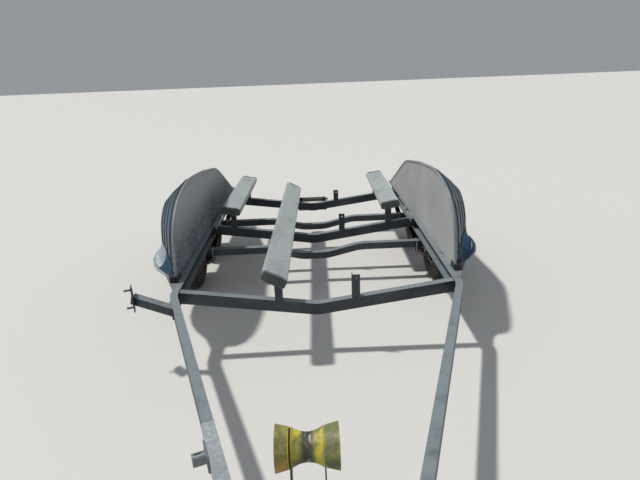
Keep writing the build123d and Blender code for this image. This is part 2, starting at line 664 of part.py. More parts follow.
with BuildPart() as winch:
    y = back(WINCH_Y)
    with Locations((STAND_X, y, WINCH_Z + CHEEK_T / 2)):
        Box(DRUM_LENGTH + 2 * (CHEEK_T + 1), 110, CHEEK_T)
    for start in (-DRUM_LENGTH / 2 - 1 - CHEEK_T, DRUM_LENGTH / 2 + 1):
        with BuildSketch(on_side(STAND_X + start)):
            with BuildLine():
                Polyline((y - 55, WINCH_Z), (y + 55, WINCH_Z), (y + 55, WINCH_Z + 30), (y + 25, WINCH_Z + 76),
                         (y - 25, WINCH_Z + 76), (y - 55, WINCH_Z + 30), close=True)
            make_face()
            with Locations((y, DRUM_Z)):
                Circle(WINCH_SHAFT_R + FIT, mode=Mode.SUBTRACT)
        extrude(amount=CHEEK_T)
winch.part.label = "winch_frame"
export_step(winch.part, "parts/winch_frame.step")

with BuildPart() as drum:
    with BuildSketch(on_side(STAND_X - DRUM_LENGTH / 2 - 12)):
        with Locations((back(WINCH_Y), DRUM_Z)):
            Circle(WINCH_SHAFT_R)
    extrude(amount=DRUM_LENGTH + 40)
    with BuildSketch(on_side(STAND_X - DRUM_LENGTH / 2)):
        with Locations((back(WINCH_Y), DRUM_Z)):
            Circle(20)
    extrude(amount=DRUM_LENGTH)
    for start in (-DRUM_LENGTH / 2, DRUM_LENGTH / 2 - 3):
        with BuildSketch(on_side(STAND_X + start)):
            with Locations((back(WINCH_Y), DRUM_Z)):
                Circle(38)
        extrude(amount=3)
drum.part.label = "winch_drum"
export_step(drum.part, "parts/winch_drum.step")

CRANK_X = STAND_X + DRUM_LENGTH / 2 + 28
with BuildPart() as crank:
    with BuildSketch(on_side(CRANK_X)):
        with Locations((back(WINCH_Y) - 80, DRUM_Z)):
            SlotCenterToCenter(160, 24)
        with Locations((back(WINCH_Y) - 160, DRUM_Z)):
            Circle(5, mode=Mode.SUBTRACT)
    extrude(amount=6)
    with BuildSketch(on_side(CRANK_X)):
        with Locations((back(WINCH_Y) - 160, DRUM_Z)):
            Circle(14)
    extrude(amount=100)
crank.part.label = "winch_crank"
export_step(crank.part, "parts/winch_crank.step")

# Coupler, bolted under the tip of the tongue
COUPLER_NOSE = -FRONT_REACH
COUPLER_REAR = -2180.0
COUPLER_WALL = 6.0
COUPLER_DEPTH = 55.0
NOSE_R = 44.0
BALL_Y = COUPLER_NOSE + NOSE_R + 6
BALL_R = 25.9
COUPLER_TOP = RAIL_TOP - RAIL_DEPTH


def coupler_outline(inset):
    """The coupler in plan, drawn in by its wall where inset is given."""
    rear_half = rail_outer(back(COUPLER_REAR)) - inset
    with BuildSketch() as outline:
        with BuildLine():
            Polyline((-rear_half, back(COUPLER_REAR) + (0 if not inset else 1)),
                     (rear_half, back(COUPLER_REAR) + (0 if not inset else 1)),
                     (NOSE_R + 6 - inset, back(BALL_Y)), (-NOSE_R - 6 + inset, back(BALL_Y)), close=True)
        make_face()
        with Locations((0, back(BALL_Y))):
            Circle(NOSE_R + 6 - inset)
    return outline.sketch


with BuildPart() as coupler:
    with BuildSketch(Plane.XY.offset(COUPLER_TOP - COUPLER_DEPTH)):
        add(coupler_outline(0.0))
    extrude(amount=COUPLER_DEPTH)
    with BuildSketch(Plane.XY.offset(COUPLER_TOP - COUPLER_DEPTH)):
        add(coupler_outline(COUPLER_WALL))
    extrude(amount=COUPLER_DEPTH - COUPLER_WALL, mode=Mode.SUBTRACT)
    with BuildSketch(Plane.XY.offset(COUPLER_TOP - COUPLER_DEPTH)):
        with Locations((0, back(BALL_Y))):
            Circle(BALL_R + 7)
    extrude(amount=COUPLER_DEPTH)
    with BuildSketch(Plane.XY.offset(COUPLER_TOP - COUPLER_DEPTH)):
        with Locations((0, back(BALL_Y))):
            Circle(BALL_R)
    extrude(amount=COUPLER_DEPTH - COUPLER_WALL, mode=Mode.SUBTRACT)
coupler.part.label = "coupler"
export_step(coupler.part, "parts/coupler.step")

with BuildPart() as latch:
    with BuildSketch(on_side(-12)):
        with BuildLine():
            Polyline((back(BALL_Y) - 14, COUPLER_TOP), (back(BALL_Y) + 60, COUPLER_TOP),
                     (back(BALL_Y) + 60, COUPLER_TOP + 14), (back(BALL_Y) + 150, COUPLER_TOP + 34),
                     (back(BALL_Y) + 146, COUPLER_TOP + 44), (back(BALL_Y) + 40, COUPLER_TOP + 26),
                     (back(BALL_Y), COUPLER_TOP + 22), close=True)
        make_face()
    extrude(amount=24)
latch.part.label = "coupler_latch"
export_step(latch.part, "parts/coupler_latch.step")

# Tongue plate and the jack that stands through it
JACK_Y = -2090.0
JACK_R = 28.5
JACK_WALL = 3.5
LEG_R = JACK_R - JACK_WALL - FIT
JACK_LOW = RAIL_TOP - 200.0
JACK_HIGH = RAIL_TOP + 262.0
JACK_FLANGE_R = 52.0
LEG_HIGH = RAIL_TOP
FOOT = (130.0, 150.0, 8.0)
TONGUE_PLATE_T = 8.0
PLATE_FRONT = -2250.0
PLATE_REAR = -2030.0

with BuildPart() as tongue_plate:
    with BuildSketch(Plane.XY.offset(RAIL_TOP)):
        with BuildLine():
            front_half = rail_outer(back(PLATE_FRONT))
            rear_half = rail_outer(back(PLATE_REAR))
            Polyline((-front_half, back(PLATE_FRONT)), (front_half, back(PLATE_FRONT)),
                     (rear_half, back(PLATE_REAR)), (-rear_half, back(PLATE_REAR)), close=True)
        make_face()
        with Locations((0, back(JACK_Y))):
            Circle(JACK_R + FIT, mode=Mode.SUBTRACT)
    extrude(amount=TONGUE_PLATE_T)
tongue_plate.part.label = "tongue_plate"
export_step(tongue_plate.part, "parts/tongue_plate.step")

with BuildPart() as jack_tube:
    with BuildSketch(Plane.XY.offset(JACK_LOW)):
        with Locations((0, back(JACK_Y))):
            Circle(JACK_R)
            Circle(JACK_R - JACK_WALL, mode=Mode.SUBTRACT)
    extrude(amount=JACK_HIGH - JACK_LOW)
    with BuildSketch(Plane.XY.offset(JACK_HIGH)):
        with Locations((0, back(JACK_Y))):
            Circle(JACK_R)
    extrude(amount=8)
    with BuildSketch(Plane.XY.offset(RAIL_TOP + TONGUE_PLATE_T)):
        with Locations((0, back(JACK_Y))):
            Circle(JACK_FLANGE_R)
            Circle(JACK_R - 1, mode=Mode.SUBTRACT)
    extrude(amount=8)
jack_tube.part.label = "jack_tube"
export_step(jack_tube.part, "parts/jack_tube.step")

with BuildPart() as jack_leg:
    with BuildSketch(Plane.XY):
        with Locations((0, back(JACK_Y))):
            RectangleRounded(FOOT[0], FOOT[1], 20)
    extrude(amount=FOOT[2])
    with BuildSketch(Plane.XY.offset(FOOT[2])):
        with Locations((0, back(JACK_Y))):
            Circle(LEG_R)
    extrude(amount=LEG_HIGH - FOOT[2])
jack_leg.part.label = "jack_leg"
export_step(jack_leg.part, "parts/jack_leg.step")

with BuildPart() as jack_crank:
    crank_low = JACK_HIGH + 8
    with BuildSketch(Plane.XY.offset(crank_low)):
        with Locations((0, back(JACK_Y))):
            Circle(9)
    extrude(amount=22)
    with BuildSketch(Plane.XY.offset(crank_low + 22)):
        with Locations((70, back(JACK_Y))):
            SlotCenterToCenter(140, 20)
    extrude(amount=6)
    with BuildSketch(Plane.XY.offset(crank_low + 28)):
        with Locations((140, back(JACK_Y))):
            Circle(13)
    extrude(amount=70)
jack_crank.part.label = "jack_crank"
export_step(jack_crank.part, "parts/jack_crank.step")

# Spare wheel carrier on the left tongue rail, without its wheel
ARM_SIZE = 50.0
ARM_FOOT = (72.0, 110.0)
ARM_REACH = 250.0
ARM_ROOT = -95.0
ARM_SWEEP = radians(10)
ARM_RISE = radians(16)
CARRIER_TURN = radians(20)
CARRIER = (120.0, 165.0, 8.0)
STUD_SPACING = 114.3
STUD_R = 6.35
STUD_LENGTH = 38.0

with BuildPart() as carrier:
    root = tongue_plane(-1, ARM_ROOT, RAIL_TOP - 52)
    base = Plane(origin=root.origin, x_dir=(0, 0, 1), z_dir=root.x_dir)
    with BuildSketch(base):
        Rectangle(*ARM_FOOT)
    extrude(amount=8)
    direction = Vector(-cos(ARM_RISE) * cos(ARM_SWEEP), cos(ARM_RISE) * sin(ARM_SWEEP), sin(ARM_RISE))
    arm_plane = Plane(origin=root.origin, x_dir=direction.cross(Vector(0, 0, 1)), z_dir=direction)
    with BuildSketch(arm_plane):
        Rectangle(ARM_SIZE, ARM_SIZE)
    extrude(amount=ARM_REACH)
    with BuildSketch(arm_plane):
        Rectangle(ARM_SIZE, ARM_SIZE)
    extrude(amount=-60)
    split(bisect_by=base, keep=Keep.TOP)
    outward = Vector(-cos(CARRIER_TURN), -sin(CARRIER_TURN), 0)
    wheel_face = Plane(origin=arm_plane.origin + direction * ARM_REACH, x_dir=(0, 0, 1), z_dir=outward)
    with BuildSketch(wheel_face.offset(-4)):
        with BuildLine():
            Polyline((-CARRIER[1] / 2, -22), (-CARRIER[1] / 2, 22), (-20, CARRIER[0] / 2), (20, CARRIER[0] / 2),
                     (CARRIER[1] / 2, 22), (CARRIER[1] / 2, -22), (20, -CARRIER[0] / 2), (-20, -CARRIER[0] / 2),
                     close=True)
        make_face()
    extrude(amount=CARRIER[2])
    with BuildSketch(wheel_face.offset(CARRIER[2] - 4)):
        with Locations((-STUD_SPACING / 2, 0), (STUD_SPACING / 2, 0)):
            Circle(STUD_R)
    extrude(amount=STUD_LENGTH)
carrier.part.label = "spare_wheel_carrier"
export_step(carrier.part, "parts/spare_wheel_carrier.step")

# Tail lamps on the ends of the rails
LAMP = (150.0, 36.0, 85.0)
for name, side in SIDES:
    with BuildPart() as lamp:
        lamp_x = rail_outer(TAIL_Y) + LAMP[0] / 2
        with Locations((side * lamp_x, TAIL_Y - LAMP[1] / 2, RAIL_TOP - RAIL_DEPTH / 2)):
            Box(*LAMP)
    lamp.part.label = name + "_tail_lamp"
    export_step(lamp.part, "parts/" + name + "_tail_lamp.step")
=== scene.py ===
"""A two-axle boat trailer, parked empty: its looks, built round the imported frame."""

import json
import logging
import math
import random
from dataclasses import dataclass
from enum import Enum
from typing import Iterable, Sequence

import bmesh
import bpy
from mathutils import Matrix, Vector, noise


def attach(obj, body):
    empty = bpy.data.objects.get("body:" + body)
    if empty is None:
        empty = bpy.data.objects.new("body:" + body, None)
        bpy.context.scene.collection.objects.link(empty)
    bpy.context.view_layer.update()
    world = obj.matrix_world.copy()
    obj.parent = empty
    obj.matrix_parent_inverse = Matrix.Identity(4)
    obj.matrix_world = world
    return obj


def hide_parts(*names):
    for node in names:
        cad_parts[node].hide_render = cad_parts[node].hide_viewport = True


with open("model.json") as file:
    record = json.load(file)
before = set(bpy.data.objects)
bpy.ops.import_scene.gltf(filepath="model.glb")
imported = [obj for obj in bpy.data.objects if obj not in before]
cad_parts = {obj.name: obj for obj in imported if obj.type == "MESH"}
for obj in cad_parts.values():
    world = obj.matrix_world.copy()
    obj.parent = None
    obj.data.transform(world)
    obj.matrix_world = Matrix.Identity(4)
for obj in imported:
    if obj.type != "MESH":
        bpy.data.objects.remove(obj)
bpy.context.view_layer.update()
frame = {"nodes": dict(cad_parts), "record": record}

Place = Sequence[float]
Points = Sequence[Place]
Pair = tuple[float, float]
Triple = tuple[float, float, float]
Row = tuple[float, ...]
Table = tuple[Row, ...]
Socket = bpy.types.NodeSocket

LOG = logging.getLogger("boat_trailer")
UP, DOWN = Vector((0, 0, 1)), Vector((0, 0, -1))
WAYS = (-1.0, 1.0)
CURVE_SHARE = 0.48  # The most of a side that the curve of one corner takes.
SHARP_DEGREES = 32.0
MERGE = 1e-6  # Points nearer than this are one.
HEX = 0.577  # A hexagon's radius over its corners, as a share of its width across its flats.

# Sizes that the CAD shares, in metres. Distances along the rails count back from their bend.
SIDES = {"left": -1.0, "right": 1.0}
BEND_Y = -0.125
RAIL_TOP = 0.465
AXLES = {"front": 1.047, "rear": 1.841}
WHEEL_X = 1.05
WHEEL_R = 0.3
TAIL_FLARE = 0.0157
TONGUE_SLOPE = 0.3758
BEND_HALF = 0.9
RAIL_FLANGE = 0.045
STAND_X = -0.042
BOW_Z = 0.965
NUT_CIRCLE = 0.05715

# Colours that many finishes share, 0 to 255.
DUST = (150, 146, 138)
PRIMER = (70, 58, 52)


def back(distance: float) -> float:
    """Give the place along the row of a point this many metres behind the bend."""
    return BEND_Y + distance


def rail_outer(y: float) -> float:
    """Give half the width over the rails at a place along the row."""
    behind = y - BEND_Y
    return BEND_HALF + behind * (TAIL_FLARE if behind > 0 else TONGUE_SLOPE)


def curve(start: Vector, corner: Vector, stop: Vector, share: float) -> Vector:
    """Give the point at a share of the way along a curve that turns at a corner."""
    return start.lerp(corner, share).lerp(corner.lerp(stop, share), share)


def rounded(points: Points, radius: float, steps: int = 6) -> list[Vector]:
    """Round the corners of a path.

    Args:
        points: The path's corners.
        radius: How far from each corner its curve starts and ends, in metres.
        steps: How many points each curve gets.

    Returns:
        The path's points.
    """
    corners = [Vector(point) for point in points]
    path = [corners[0]]
    for before, corner, after in zip(corners, corners[1:], corners[2:]):
        start, stop = (corner + (end - corner).normalized()
                       * min(radius, CURVE_SHARE * (end - corner).length)
                       for end in (before, after))
        path += [curve(start, corner, stop, count / steps) for count in range(steps + 1)]
    return [*path, corners[-1]]


def aimed(place: Place, axis: Place) -> Matrix:
    """Give the placing that takes the origin to a place and turns Z along an axis."""
    return Matrix.Translation(place) @ Vector(axis).to_track_quat("Z", "Y").to_matrix().to_4x4()


def put(name: str, data: bpy.types.ID) -> bpy.types.Object:
    """Put a new object into the scene.

    Args:
        name: The object's name.
        data: Its mesh, light or camera.

    Returns:
        The object.
    """
    made = bpy.data.objects.new(name, data)
    bpy.context.scene.collection.objects.link(made)
    return made


def tint(colour: Place, shade: float = 1.0) -> Row:
    """Turn a screen colour into a shader's linear colour.

    Args:
        colour: Red, green and blue from 0 to 255.
        shade: The share of each that is kept.

    Returns:
        Linear red, green and blue, with an opaque alpha.
    """
    parts = [c * shade / 255 for c in colour]
    linear = [c / 12.92 if c <= 0.04045 else ((c + 0.055) / 1.055) ** 2.4 for c in parts]
    return (*linear, 1.0)


class Graph:
    """The node tree of one material, written from its patterns to its shader."""

    MIX_SHARE, MIX_FIRST, MIX_SECOND, MIX_RESULT = 0, 6, 7, 2  # The colour sockets of a mix node.
    EDGE_MATCH = (0.995, 0.86)

    def __init__(self, name: str) -> None:
        """Start a material, whose patterns lie on Object coordinates.

        Args:
            name: The material's name.
        """
        self.material = bpy.data.materials.new(name)
        self.material.use_nodes = True
        self.tree = self.material.node_tree
        self.shader = self.tree.nodes["Principled BSDF"]
        self.place = self.node("ShaderNodeTexCoord").outputs["Object"]

    def node(self, kind: str, inputs: dict | None = None, **options: object) -> bpy.types.Node:
        """Add a node.

        Args:
            kind: Blender's name for the node.
            inputs: Values or outputs for its sockets, by name or number.
            options: The node's own settings.

        Returns:
            The new node.
        """
        made = self.tree.nodes.new(kind)
        for key, value in options.items():
            setattr(made, key, value)
        for key, value in (inputs or {}).items():
            self.feed(made.inputs[key], value)
        return made

    def feed(self, socket: Socket, value: object) -> None:
        """Fill a socket.

        Args:
            socket: The socket.
            value: The output to link to it, or the value to set it to.
        """
        if isinstance(value, Socket):
            self.tree.links.new(value, socket)
        else:
            socket.default_value = value

    def stretched(self, factors: Place) -> Socket:
        """Give the piece's coordinates, stretched along its axes."""
        sockets = {0: self.place, 1: tuple(factors)}
        return self.node("ShaderNodeVectorMath", sockets, operation="MULTIPLY").outputs[0]

    def noise(self, scale: float, detail: float = 4.0, along: Triple = (1, 1, 1)) -> Socket:
        """Give clouds from 0 to 1.

        Args:
            scale: How many there are per metre.
            detail: How many finer layers they have.
            along: How much closer they stand along each axis.

        Returns:
            The clouds.
        """
        where = self.place if along == (1, 1, 1) else self.stretched(along)
        sockets = {"Vector": where, "Scale": scale, "Detail": detail, "Roughness": 0.6}
        return self.node("ShaderNodeTexNoise", sockets).outputs[0]

    def cells(self, scale: float, along: Triple = (1, 1, 1)) -> Socket:
        """Give the distance to the nearest of many scattered points, this many per metre."""
        sockets = {"Vector": self.stretched(along), "Scale": scale}
        return self.node("ShaderNodeTexVoronoi", sockets).outputs["Distance"]

    def levels(self, value: Socket, low: float, high: float, start: float = 0.0,
               end: float = 1.0) -> Socket:
        """Spread the part of a pattern from low to high smoothly over start to end."""
        sockets = {0: value, 1: low, 2: high, 3: start, 4: end}
        return self.node("ShaderNodeMapRange", sockets, interpolation_type="SMOOTHSTEP").outputs[0]

    def maths(self, how: str, first: object, second: object) -> Socket:
        """Join two numbers or patterns by one operation."""
        return self.node("ShaderNodeMath", {0: first, 1: second}, operation=how).outputs[0]

    def times(self, first: object, second: object) -> Socket:
        """Multiply two numbers or patterns."""
        return self.maths("MULTIPLY", first, second)

    def height(self, axis: str = "Z") -> Socket:
        """Give one of the piece's own coordinates, in metres."""
        return self.node("ShaderNodeSeparateXYZ", {0: self.place}).outputs[axis]

    def facing(self) -> Socket:
        """Give how far the surface faces up, from -1 to 1."""
        normal = self.node("ShaderNodeNewGeometry").outputs["Normal"]
        return self.node("ShaderNodeSeparateXYZ", {0: normal}).outputs["Z"]

    def edges(self, width: float) -> Socket:
        """Find the piece's edges, for wear.

        Args:
            width: How far the wear reaches, in metres.

        Returns:
            1 near the edges and 0 on the flats.
        """
        soft = self.node("ShaderNodeBevel", {"Radius": width}, samples=4).outputs[0]
        normals = {0: soft, 1: self.node("ShaderNodeNewGeometry").outputs["Normal"]}
        match = self.node("ShaderNodeVectorMath", normals, operation="DOT_PRODUCT").outputs["Value"]
        return self.levels(match, *self.EDGE_MATCH)

    def mix(self, share: Socket, first: Socket | Triple, second: Triple,
            shade: float = 1.0) -> Socket:
        """Mix two colours.

        Args:
            share: How much there is of the second, from 0 to 1.
            first: A colour so far, or a screen colour.
            second: A screen colour.
            shade: How much of the second is left in shade.

        Returns:
            The mixed colour.
        """
        under = first if isinstance(first, Socket) else tint(first)
        over = tint(second, shade)
        sockets = {self.MIX_SHARE: share, self.MIX_FIRST: under, self.MIX_SECOND: over}
        return self.node("ShaderNodeMix", sockets, data_type="RGBA").outputs[self.MIX_RESULT]

    def bump(self, height: Socket, depth: float) -> Socket:
        """Turn a height pattern into relief of this depth in metres."""
        sockets = {"Height": height, "Distance": depth, "Strength": 1.0}
        return self.node("ShaderNodeBump", sockets).outputs[0]

    def done(self, **sockets: object) -> bpy.types.Material:
        """Finish the material.

        Args:
            sockets: What the shader's sockets hold, by their names with _ for a space.

        Returns:
            The material.
        """
        for key, value in sockets.items():
            self.feed(self.shader.inputs[key.replace("_", " ")], value)
        return self.material


@dataclass(frozen=True)
class Paint:
    """Old sprayed paint on steel: paler in clouds, dusty on top, chipped to dark primer and rust at
    edges; its upward faces turn paler, partly from sun-wear and partly as painted light from above.
    """

    name: str
    colour: Triple
    faded_and_lit: Triple
    chipped: Triple = PRIMER
    gloss: float = 0.45
    wear: float = 0.5
    dust: float = 0.4
    top_fade_and_light: float = 0.0
    mottle: float = 0.0
    streaks: float = 0.45
    shine: float = 0.5
    paler_higher: float = 0.0
    specks: Triple = (134, 130, 122)

    def material(self) -> bpy.types.Material:
        """Build the paint's material.

        Returns:
            The material.
        """
        g = Graph(self.name)
        # Paler paint in clouds, on upward faces and higher up. The upward faces' share is partly
        # sun-wear and partly painted light from above, so that tops stand bright over sides left
        # dark as painted shade.
        clouded = g.times(g.levels(g.noise(2.3, 6), 0.35, 0.7), 1 - 0.95 * self.top_fade_and_light)
        sunfade_and_lit_tops = g.levels(g.facing(), 0.55, 0.95, 0, self.top_fade_and_light)
        pale = g.levels(g.height(), RAIL_TOP + 0.08, RAIL_TOP + 0.45, 0, self.paler_higher)
        fade_and_light_share = g.maths("MAXIMUM", g.maths("MAXIMUM", clouded, sunfade_and_lit_tops), pale)
        colour = g.mix(fade_and_light_share, self.colour, self.faded_and_lit)
        thick = g.levels(g.noise(5), 0.3, 0.65, 0.25, 1)
        spots = g.times(g.times(g.levels(g.noise(58, 10), 0.47, 0.62), thick), self.mottle)
        colour = g.mix(spots, colour, self.specks)
        streak = g.levels(g.noise(9, 8, (1, 1, 0.25)), 0.5, 0.75, 0, self.streaks)
        colour = g.mix(streak, colour, self.colour, 0.7)
        settled = g.levels(g.noise(16, 8), 0.35, 0.75, 0, self.dust)
        dusty = g.times(g.levels(g.facing(), 0.3, 1.0), settled)
        colour = g.mix(dusty, colour, DUST)
        chips = g.times(g.levels(g.noise(70, 6), 0.62, 0.68), 0.5)
        rim = g.times(g.edges(0.004), g.levels(g.noise(28, 6), 0.44, 0.56))
        worn = g.times(g.maths("MAXIMUM", rim, chips), self.wear)
        colour = g.mix(worn, colour, self.chipped)
        rough = g.levels(g.maths("ADD", dusty, worn), 0, 1, self.gloss, 0.85)
        relief = g.bump(g.noise(240), 0.0004)
        return g.done(Base_Color=colour, Roughness=rough, Specular_IOR_Level=self.shine,
                      Normal=relief)


@dataclass(frozen=True)
class Zinc:
    """Galvanised or plated steel, dulled in patches."""

    name: str
    colour: Triple = (160, 167, 172)
    dull: Triple = (114, 119, 122)
    rust: float = 0.15
    rusted: Triple = (112, 74, 48)

    def material(self) -> bpy.types.Material:
        """Build the metal's material.

        Returns:
            The material.
        """
        g = Graph(self.name)
        patch = g.levels(g.noise(11, 6), 0.35, 0.65)
        colour = g.mix(g.times(patch, 0.8), self.colour, self.dull)
        spangle = g.times(g.levels(g.cells(130), 0.1, 0.6), 0.25)
        colour = g.mix(spangle, colour, self.dull, 0.8)
        spread = self.rust * 0.3
        rusty = g.levels(g.noise(24, 8), 0.66 - spread, 0.8 - spread, 0, 0.8)
        colour = g.mix(rusty, colour, self.rusted)
        metal = g.levels(rusty, 0, 1, 0.75, 0)
        rough = g.levels(patch, 0, 1, 0.38, 0.62)
        relief = g.bump(g.noise(160), 0.0005)
        return g.done(Base_Color=colour, Metallic=metal, Roughness=rough, Normal=relief)


@dataclass(frozen=True)
class Plastic:
    """Moulded plastic, stained in use."""

    name: str
    colour: Triple
    stain: Triple
    rough: float = 0.5
    clear: float = 0.0
    clouds: Pair = (26, 6)
    stained: Row = (0.35, 0.75, 0, 0.8)
    grain: Pair = (190, 4)

    def material(self) -> bpy.types.Material:
        """Build the plastic's material.

        Returns:
            The material.
        """
        g = Graph(self.name)
        share = g.levels(g.noise(*self.clouds), *self.stained)
        colour = g.mix(share, self.colour, self.stain)
        relief = g.bump(g.noise(*self.grain), 0.0004)
        return g.done(Base_Color=colour, Roughness=self.rough, Coat_Weight=self.clear,
                      Normal=relief)


@dataclass(frozen=True)
class Rubber(Plastic):
    """Weathered rubber, greyed with dust."""

    colour: Triple = (34, 34, 35)
    stain: Triple = (92, 88, 82)
    rough: float = 0.82
    clouds: Pair = (14, 8)
    stained: Row = (0.4, 0.8, 0.05, 0.7)
    grain: Pair = (420, 3)


@dataclass(frozen=True)
class Carpet:
    """Marine carpet stapled round a board: short loops, worn and stained."""

    name: str
    colour: Triple = (204, 214, 214)
    stain: Triple = (134, 142, 142)

    def material(self) -> bpy.types.Material:
        """Build the carpet's material.

        Returns:
            The material.
        """
        g = Graph(self.name)
        loops = g.cells(210, (1, 0.7, 1))
        sockets = {"Vector": g.stretched((0.35, 1.0, 0.35)), "Scale": 26.0, "Distortion": 2.5,
                   "Detail": 3.0, "Detail Scale": 3.0}
        weave = g.node("ShaderNodeTexWave", sockets, bands_direction="Y").outputs["Fac"]
        stained = g.levels(g.noise(7, 8, (1, 0.4, 1)), 0.45, 0.75, 0, 0.6)
        colour = g.mix(stained, self.colour, self.stain)
        colour = g.mix(g.levels(g.noise(62, 8), 0.42, 0.7, 0, 0.5), colour, self.stain)
        colour = g.mix(g.levels(weave, 0.35, 0.05, 0, 0.3), colour, self.stain, 0.8)
        colour = g.mix(g.levels(loops, 0.2, 0.7, 0, 0.35), colour, self.stain, 0.55)
        pile = g.maths("ADD", g.maths("ADD", loops, g.noise(34, 6)), g.times(weave, 0.5))
        return g.done(Base_Color=colour, Roughness=0.95, Sheen_Weight=0.3, Sheen_Roughness=0.6,
                      Normal=g.bump(pile, 0.002))


@dataclass(frozen=True)
class WornRoller:
    """A moulded roller, worn dark at its waist and painted darker below its axis as shade, with
    clean yellow left by its seams.
    """

    name: str
    colour: Triple = (172, 168, 96)
    mossy: Triple = (112, 120, 86)
    clean: Triple = (222, 204, 58)
    rubbed_and_shaded: Triple = (70, 72, 60)
    burnt: Triple = (204, 128, 36)
    scuffed: Triple = (206, 206, 190)
    grimy: Triple = (78, 78, 62)

    def material(self) -> bpy.types.Material:
        """Build the roller's material.

        Returns:
            The material.
        """
        g = Graph(self.name)
        blotch = g.levels(g.noise(34, 8), 0.35, 0.65)
        colour = g.mix(blotch, self.colour, self.colour, 0.72)
        fresh = g.times(self.band(g, -0.022, 0.013), g.levels(g.noise(30, 6), 0.42, 0.58))
        fresh = g.maths("MAXIMUM", fresh, g.times(self.band(g, -0.037, 0.006), 0.8))
        patchy = g.levels(g.noise(24), 0.35, 0.55, 0, 0.8)
        fresh = g.maths("MAXIMUM", fresh, g.times(self.band(g, 0.026, 0.012), patchy))
        colour = g.mix(fresh, colour, self.clean)
        moss = g.times(self.band(g, 0.053, 0.02), g.levels(g.noise(40, 6), 0.36, 0.56, 0.2, 1))
        colour = g.mix(moss, colour, self.mossy)
        waist = g.times(self.band(g, 0.0, 0.017), g.levels(g.noise(48, 6), 0.3, 0.5, 0.35, 1))
        # Painted shade: the roller's lower half, below its axis, is darkened with the waist's
        # colour.
        shade = g.levels(g.height(), BOW_Z + 0.02, BOW_Z - 0.01, 0, 0.85)
        waist = g.maths("MAXIMUM", waist, g.times(self.band(g, -0.016, 0.026), shade))
        colour = g.mix(waist, colour, self.rubbed_and_shaded)
        rubs = g.levels(g.noise(60, 8, (1, 0.4, 0.4)), 0.46, 0.58)
        colour = g.mix(g.times(self.band(g, 0.001, 0.009), rubs), colour, self.scuffed)
        bell = g.levels(g.height("X"), STAND_X - 0.036, STAND_X - 0.046)
        low = g.times(bell, g.levels(g.height(), BOW_Z + 0.02, BOW_Z - 0.015))
        colour = g.mix(g.times(low, g.levels(blotch, 0, 1, 0.35, 1)), colour, self.burnt)
        grime = g.levels(g.noise(120, 8, (1, 0.5, 0.5)), 0.52, 0.75, 0, 0.6)
        colour = g.mix(grime, colour, self.grimy)
        return g.done(Base_Color=colour, Roughness=0.5, Normal=g.bump(g.noise(150, 6), 0.0012))

    @staticmethod
    def band(g: Graph, middle: float, half: float) -> Socket:
        """Give 1 along a ring this far from the roller's middle, fading out over its half width."""
        away = g.maths("ABSOLUTE", g.maths("SUBTRACT", g.height("X"), STAND_X + middle), 0.0)
        return g.levels(away, half, half * 0.4)


